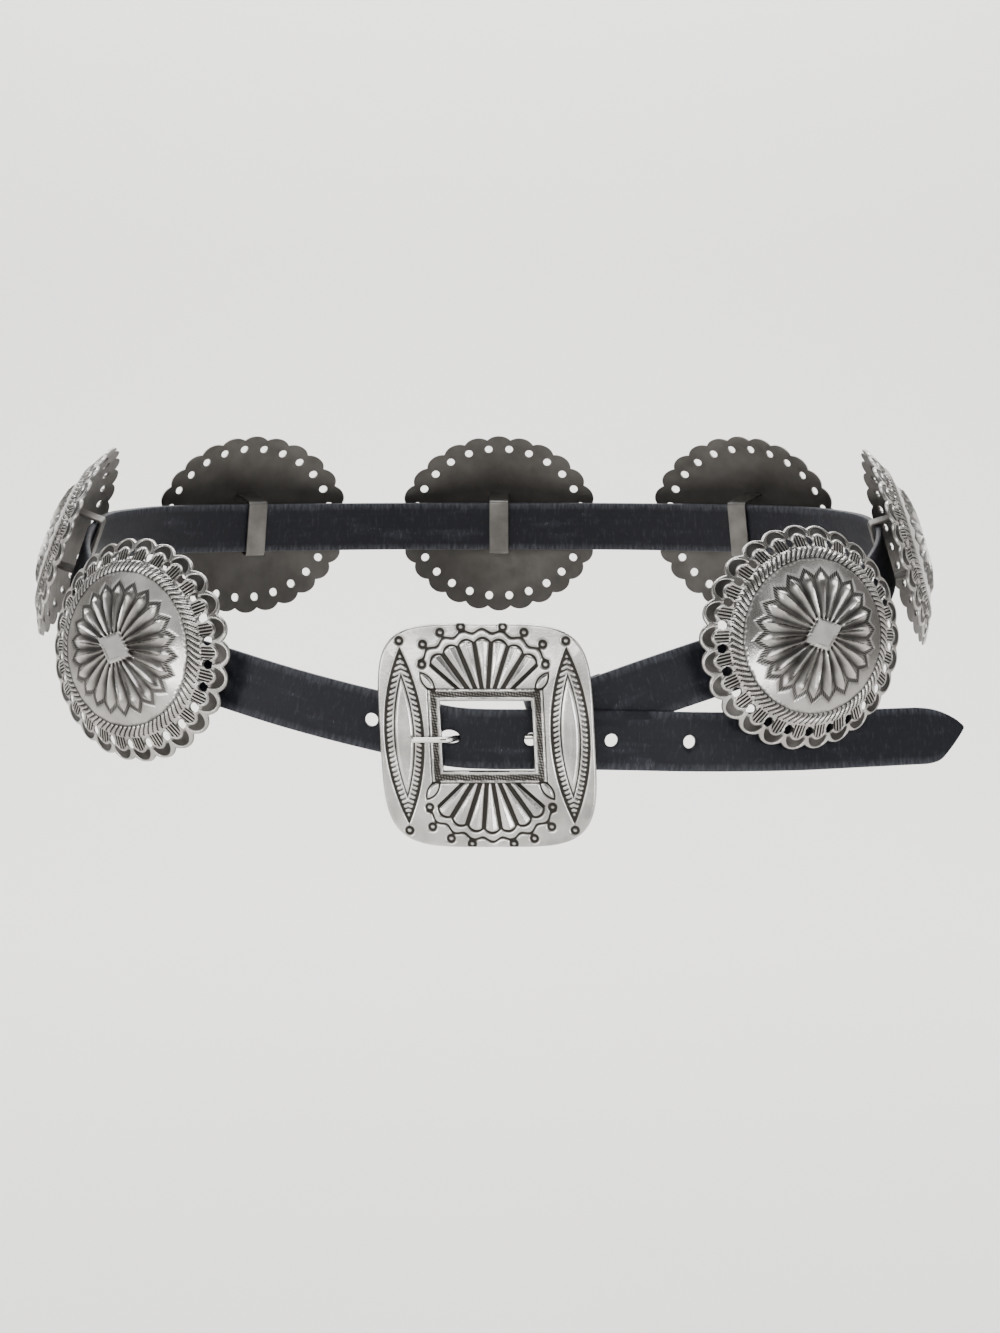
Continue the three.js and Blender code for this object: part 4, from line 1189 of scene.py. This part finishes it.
# %% The leather's colour, creases and sheen
def black_leather():
    material, surface = shader("worn_black_leather")
    lay = node_with("ShaderNodeAttribute", attribute_name="lay").outputs["Vector"]
    creases = speckle(1.0, 5, (760, 190, 1), lay)
    fine = speckle(1.0, 3, (1900, 420, 1), lay)
    pores = speckle(1.0, 2, (2600, 2600, 1), lay)
    scuffs = speckle(1.0, 4, (45, 160, 1), lay)
    worn = from_to(0.52, 0.74, scuffs)
    specks_and_sheen = from_to(0.60, 0.74, fine) * (0.2 + worn * 0.8)
    rubbed_and_lit_edge = carried("edge") * from_to(0.25, 0.7, creases)
    colour = tint(worn, (0.0060, 0.0066, 0.0100), (0.0125, 0.0135, 0.0190))
    # Creases, specks and rubbed edges are paled towards grey: real crackle and wear, and painted sheen
    # and painted edge highlights in place of most of the specular.
    colour = tint(from_to(0.54, 0.70, creases) * (0.25 + worn * 0.4), colour, (0.036, 0.038, 0.046))
    colour = tint(specks_and_sheen * 0.7, colour, (0.11, 0.112, 0.125))
    colour = tint(rubbed_and_lit_edge * 0.6, colour, (0.085, 0.09, 0.105))
    paint(surface, colour, 0.46 + (scuffs - 0.5) * 0.25 + (creases - 0.5) * 0.2)
    surface.inputs["Specular IOR Level"].default_value = 0.14
    bumped(surface, creases * 0.6 + fine * 0.4 + pores * 0.15, 0.0003, 0.6)
    return material


strap_leather = black_leather()

# %% [markdown]
# ## The strap
#
# One piece of leather goes from the fold behind the buckle round the body and on to the
# pointed end. The section is flat with rubbed edges, and it is carried along the route. At
# the free end its upper and lower edges come in by different amounts, because a strap end
# that is cut by hand isn't quite even.

# %% Stations of the strap: inner run, bend, outer run, point
POINT_LENGTH, FOLD_LENGTH, FOLD_TAPER = 20.0, 26.0, 8.0
tip_back = np.append(np.linspace(1, 0.08, 15), [0.04, 0.012])
# The cut of the point, as shares of half the width, is averaged over its neighbours to round it.
nearby = tip_back * np.array([[0.75], [0.88], [1], [1.12], [1.25]])
cut_at = [0, 0.14, 0.36, 0.68, 1]
tip_up = np.interp(nearby, cut_at, [0.27, 0.5, 0.72, 0.93, 1]).mean(axis=0)
tip_down = np.interp(nearby, cut_at, [-0.2, 0.1, 0.5, 1.0, 1]).mean(axis=0)


def strap_stations():
    stations = []

    def put(along, inward, turned=1, up=1.0, down=1.0):
        point, _, across, face = frame_along(along)
        stations.append((point - face * inward, across, face * turned, up, down, along))

    for along in np.linspace(FOLD_LENGTH, FOLD_TAPER, 10, endpoint=False):
        put(along, LAYER, -1)
    for share in np.linspace(0, 1, 8, endpoint=False):
        inward = LAYER + (2 * FOLD_RADIUS - LAYER) * share**2 * (3 - 2 * share)
        put(FOLD_TAPER * (1 - share), inward, -1)
    point, tangent, across, face = frame_along(0)
    for angle in np.radians(np.arange(0, 180, 12)):
        reach = -tangent * math.sin(angle) - face * math.cos(angle)
        stations.append((point - face * FOLD_RADIUS + reach * FOLD_RADIUS, across, reach, 1.0, 1.0,
                         -(math.pi - angle) * FOLD_RADIUS))
    straight = leather_length - POINT_LENGTH
    for along in np.linspace(0, straight, 470, endpoint=False):
        put(along, 0)
    for back_share, up, down in zip(tip_back, tip_up, tip_down):
        put(leather_length - back_share * POINT_LENGTH, 0, 1, up, down)
    return stations


# %% Carry the section, and store how the leather lies
def make_strap():
    section = rounded_section(STRAP_WIDTH, STRAP_THICK, 0.55, 0.12, 3, 8)
    rings, lay, edge = [], [], []
    for point, across, face, up, down, along in strap_stations():
        wide = STRAP_WIDTH / 2 * ((section[:, :1] / STRAP_WIDTH + 0.5) * (up + down) - down)
        rings.append(point + wide * across + section[:, 1:] * face)
        lay += [(along * MM, w * MM, h * MM) for w, h in zip(wide[:, 0], section[:, 1])]
        edge += list(np.clip(np.abs(section[:, 0]) - STRAP_WIDTH / 2 + 1.3, 0, 1))
    strap = skinned("strap", rings, strap_leather)
    store(strap.data, "lay", lay)
    store(strap.data, "edge", edge)
    return strap


strap = make_strap()
print("strap:", len(strap.data.polygons), "faces")

# %% [markdown]
# ## Punch the strap
#
# The five holes are punched at even steps with one tool, so Geometry Nodes place one cutter
# at each of five marks and take them all out of the leather in one go. A mark carries its
# own turn and stretch as attributes: the hole in use has been pulled longer by the tongue.

# %% The marks on the free end
HOLE_PITCH, HOLES, IN_USE, PULLED_LONG = 29.8, 5, 1, 7.4
PUNCH = {"Hole Diameter": 5.0, "Lip": 0.35, "Leather": STRAP_THICK}
free_end_zero = along_at(360 + turn_at(BUCKLE_X))
hole_frames = [frame_along(free_end_zero + TONGUE_HOLE + (i - IN_USE) * HOLE_PITCH)
               for i in range(HOLES)]
mark_mesh = bpy.data.meshes.new("marks")
mark_mesh.from_pydata([tuple(place[0]) for place in hole_frames], [], [])
store(mark_mesh, "aim", [tuple(matrix_of((0, 0, 0), *place[1:]).to_euler()) for place in hole_frames])
pulled = PULLED_LONG / PUNCH["Hole Diameter"]
store(mark_mesh, "pull", [(pulled if i == IN_USE else 1.0, 1.0, 1.0) for i in range(HOLES)])
marks = put_in_scene("marks", mark_mesh)

# %% One cutter for every mark, with a flare that leaves a rubbed lip
tree, size = start_tree("strap_holes", PUNCH)
tree.interface.new_socket("Marks", in_out="INPUT", socket_type="NodeSocketObject")


def cutter_cone(lower, upper, low_z, high_z):
    node = step("GeometryNodeMeshCone", Vertices=28)
    plug(lower, node.inputs["Radius Bottom"])
    plug(upper, node.inputs["Radius Top"])
    plug(high_z - low_z, node.inputs["Depth"])
    shifted = step("GeometryNodeTransform", node.outputs[0])
    lifted = step("ShaderNodeCombineXYZ")
    plug(low_z, lifted.inputs[2])
    tree.links.new(lifted.outputs[0], shifted.inputs["Translation"])
    return shifted.outputs[0]


bore, lip_size, half_leather = size["Hole Diameter"] / 2, size["Lip"], size["Leather"] / 2
cutters = [
    cutter_cone(bore, bore, half_leather * -2.0, half_leather * 2.0),
    cutter_cone(bore, bore + lip_size * 2.0, half_leather - lip_size, half_leather + lip_size),
]
entry = next(node for node in tree.nodes if node.type == "GROUP_INPUT")
seen = step("GeometryNodeObjectInfo")
tree.links.new(entry.outputs["Marks"], seen.inputs["Object"])
cut = entry.outputs["Mesh"]
for cutter in cutters:
    spread = step("GeometryNodeInstanceOnPoints", seen.outputs["Geometry"])
    tree.links.new(cutter, spread.inputs["Instance"])
    for name, socket in (("aim", "Rotation"), ("pull", "Scale")):
        stored = step("GeometryNodeInputNamedAttribute", None, {"data_type": "FLOAT_VECTOR"}, Name=name)
        tree.links.new(stored.outputs[0], spread.inputs[socket])
    real = step("GeometryNodeRealizeInstances", spread.outputs[0])
    taken = step("GeometryNodeMeshBoolean", None, {"operation": "DIFFERENCE", "solver": "EXACT"})
    tree.links.new(cut, taken.inputs["Mesh 1"])
    tree.links.new(real.outputs[0], taken.inputs["Mesh 2"])
    cut = taken.outputs[0]
finish_tree(cut, strap_leather)
punched = grown("punched", tree, {**PUNCH, "Marks": marks}, strap.data)
print("punched strap:", len(punched.data.polygons), "faces")

# %% Cut the room for the tongue and its ring in the fold
def cutter_box(name, middle, sizes):
    bm = bmesh.new()
    place = Matrix.Translation(Vector(middle)) @ Matrix.Diagonal((*sizes, 1))
    bmesh.ops.create_cube(bm, size=1.0, matrix=place)
    mesh = bpy.data.meshes.new(name)
    bm.to_mesh(mesh)
    bm.free()
    return put_in_scene(name, mesh)


def cut_from(piece, cutter):
    modifier = piece.modifiers.new("cut", "BOOLEAN")
    modifier.operation, modifier.solver, modifier.object = "DIFFERENCE", "EXACT", cutter
    settle(piece)
    clear_away(cutter)


SLOT_HIGH, ROOM_WIDE = 3.8, 3.1
across_fold = 2 * FOLD_RADIUS + STRAP_THICK
slot_middle = bar_at(TONGUE_RISE) + buckle_place + (0, GAP / 2, 0)
slot_sizes = (across_fold + 8, across_fold + 2 * GAP, SLOT_HIGH)
cut_from(punched, cutter_box("slot", slot_middle, slot_sizes))
room = swept("room", wire_stations(shank_path), circle_section(ROOM_WIDE, 20), strap_leather)
room.data.transform(Matrix.Translation(Vector(buckle_place)))
cut_from(punched, room)
# %% Mend what the cutters left
def lay_new_points(mesh, narrow=8.0):
    """Points that a cutter made lie away from the edges; they get their lay from the route."""
    stops = np.arange(-12.0, leather_length + 0.1, 0.5)
    places = [frame_along(max(stop, 0.0)) for stop in stops]
    finder = KDTree(len(places))
    for number, (point, tangent, _, _) in enumerate(places):
        finder.insert(Vector(point + tangent * min(stops[number], 0.0)), number)
    finder.balance()
    for vertex in mesh.vertices:
        number = finder.find(vertex.co)[1]
        point, tangent, across, face = places[number]
        offset = np.array(vertex.co) - point
        if abs(offset @ across) < narrow:
            along = max(stops[number], 0.0) + offset @ tangent
            lay = np.array([along, offset @ across, offset @ face]) * MM
            mesh.attributes["lay"].data[vertex.index].vector = lay
            mesh.attributes["edge"].data[vertex.index].value = 0.0


def weld_cuts(mesh):
    """Cutters leave slivers of no width: their points are joined and the folded ones go."""
    bm = bmesh.new()
    bm.from_mesh(mesh)
    bmesh.ops.remove_doubles(bm, verts=bm.verts, dist=0.002)
    slivers = [face for face in bm.faces if any(edge.is_boundary for edge in face.edges)]
    bmesh.ops.delete(bm, geom=slivers, context="FACES")
    print("slivers taken out:", len(slivers))
    bm.to_mesh(mesh)
    bm.free()


lay_new_points(punched.data)
weld_cuts(punched.data)
for spent in ("aim", "pull"):
    punched.data.attributes.remove(punched.data.attributes[spent])
belt_strap = placed("leather_strap", [punched.data], Matrix.Identity(4), strap_leather)
belt_strap.data.set_sharp_from_angle(angle=math.radians(50))
clear_away(strap, marks, punched)
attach(belt_strap, "root")
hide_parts("strap")
print("finished strap:", len(belt_strap.data.polygons), "faces, open edges:",
      open_edges_of(belt_strap.data))

# %% [markdown]
# ## The rivet
#
# One plain rivet closes the fold behind the buckle. It is turned from a short profile, with
# a low domed head, and its brass has gone brown.

# %% Dull brass, and the turned profile
def dull_brass():
    material, surface = shader("browned_brass")
    spots = speckle(260, 4)
    colour = tint(from_to(0.35, 0.7, spots), (0.50, 0.40, 0.25), (0.20, 0.15, 0.10))
    paint(surface, colour, 0.34 + spots * 0.25, 1.0)
    bumped(surface, spots, 0.0001)
    return material


RIVET_AT = 12.5
rivet_brass = dull_brass()


def make_rivet():
    point, tangent, across, face = frame_along(RIVET_AT)
    rear = -LAYER - STRAP_THICK / 2 - GAP
    profile = [(0.05, rear - 0.9), (1.6, rear - 0.86), (2.7, rear - 0.7), (3.3, rear - 0.4),
               (3.5, rear - 0.1), (3.45, rear), (2.0, rear), (2.0, GAP), (3.45, GAP),
               (3.5, 0.45), (3.4, 0.85), (2.8, 1.1), (1.4, 1.23), (0.05, 1.25)]
    stations = [(np.array([0, 0, height]), np.array([radius, 0, 0]), np.array([0, radius, 0.0]))
                for radius, height in profile]
    turned = swept("turned", stations, circle_section(2.0, 32), rivet_brass)
    rivet = placed("brass_rivet", [turned.data], matrix_of(point, tangent, across, face), rivet_brass)
    clear_away(turned)
    return rivet


rivet = make_rivet()
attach(rivet, "root")
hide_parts("fold_rivet")

# %% [markdown]
# ## Floor, light and backdrop
#
# Polished metal shows the room more than itself. A pale floor that curves up into a wall
# keeps the picture plain, one broad soft light hangs in front like a window, and a darker
# ceiling gives the domes something to shade against. Each front dome mirrors a small card
# of light beside its petals, and a wide dim one from the side, as bright silver does in
# a room with pale walls.

# %% A pale floor that bends up into a wall
FLOOR_HALF, WALL_AT, WALL_BEND, WALL_HIGH, FLOOR_DROP = 9.0, 0.9, 0.6, 3.2, 0.30


def pale_sweep():
    material, surface = shader("pale_floor")
    paint(surface, tint(speckle(3.0, 3), (0.87, 0.855, 0.83), (0.90, 0.885, 0.865)), 0.85)
    bumped(surface, speckle(220, 3), 0.0006, 0.3)
    bend = [(WALL_AT + WALL_BEND * math.sin(a), WALL_BEND * (1 - math.cos(a)))
            for a in np.linspace(0.1, math.pi / 2, 14)]
    profile = [(-FLOOR_HALF, 0.0), (WALL_AT, 0.0), *bend, (WALL_AT + WALL_BEND, WALL_HIGH)]
    vertices = [(x, y, z - FLOOR_DROP) for y, z in profile for x in (-FLOOR_HALF, FLOOR_HALF)]
    faces = [(2 * i, 2 * i + 1, 2 * i + 3, 2 * i + 2) for i in range(len(profile) - 1)]
    mesh = bpy.data.meshes.new("pale_floor")
    mesh.from_pydata(vertices, [], faces)
    mesh.materials.append(material)
    mesh.shade_smooth()
    return put_in_scene("pale_floor", mesh)


pale_sweep()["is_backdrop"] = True

# %% The soft room round it
world = bpy.data.worlds.new("soft_room")
bpy.context.scene.world = world
world.use_nodes = True
Amount.tree = world.node_tree
sky = node_with("ShaderNodeSeparateXYZ")
world.node_tree.links.new(node_with("ShaderNodeTexCoord").outputs["Generated"], sky.inputs[0])
height = Amount(sky.outputs[2])
room_colour = tint(from_to(-0.25, 0.6, height), (0.62, 0.615, 0.60), (0.20, 0.195, 0.19))
backdrop = world.node_tree.nodes["Background"]
world.node_tree.links.new(room_colour, backdrop.inputs["Color"])
backdrop.inputs["Strength"].default_value = 0.8
# %% Seven soft lights
def soft_light(name, place, aim, wide, high, power, colour=(1, 1, 1)):
    lamp = bpy.data.lights.new(name, "AREA")
    lamp.shape, lamp.size, lamp.size_y = "RECTANGLE", wide, high
    lamp.energy, lamp.color = power, colour
    light = put_in_scene(name, lamp)
    light.location = place
    light.rotation_euler = (Vector(aim) - Vector(place)).to_track_quat("-Z", "Y").to_euler()


soft_light("window", (-0.25, -1.75, 0.26), (0, 0, 0.0), 1.1, 0.7, 12, (1.0, 0.985, 0.96))
soft_light("overhead", (0.0, -0.4, 1.5), (0, 0.1, 0), 1.2, 0.8, 16)
soft_light("right_card", (0.80, -1.20, -0.09), (0.1, 0, 0.02), 0.4, 0.34, 5, (0.98, 0.99, 1.0))
soft_light("left_card", (-1.00, -1.05, 0.04), (-0.1, 0, 0.02), 0.4, 0.42, 6, (1.0, 0.99, 0.98))
soft_light("right_fill", (1.12, -0.52, 0.40), (0.12, -0.05, 0.0), 1.1, 1.0, 3.8)
soft_light("left_fill", (-1.12, -0.44, 0.40), (-0.12, -0.05, 0.0), 1.1, 1.0, 3.8)
soft_light("backdrop_wash", (0.0, 0.75, 1.7), (0, 1.5, 0.3), 3.0, 0.5, 90)

# %% [markdown]
# ## Measure
#
# The dressed belt has to stay inside the box of its solids, because other parts are built
# to that box. Both boxes are written down before the last line.

# %% Write both boxes and finish
dressed_box = [list(corner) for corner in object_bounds()]
for name, box in (("cad", cad_box), ("visual", dressed_box)):
    print(name, [[round(c * 1000, 2) for c in corner] for corner in box])
triangles = 0
for piece in bpy.data.objects:
    if piece.type == "MESH" and not piece.hide_render:
        triangles += sum(len(face.vertices) - 2 for face in piece.data.polygons)
print("triangles in all:", triangles)
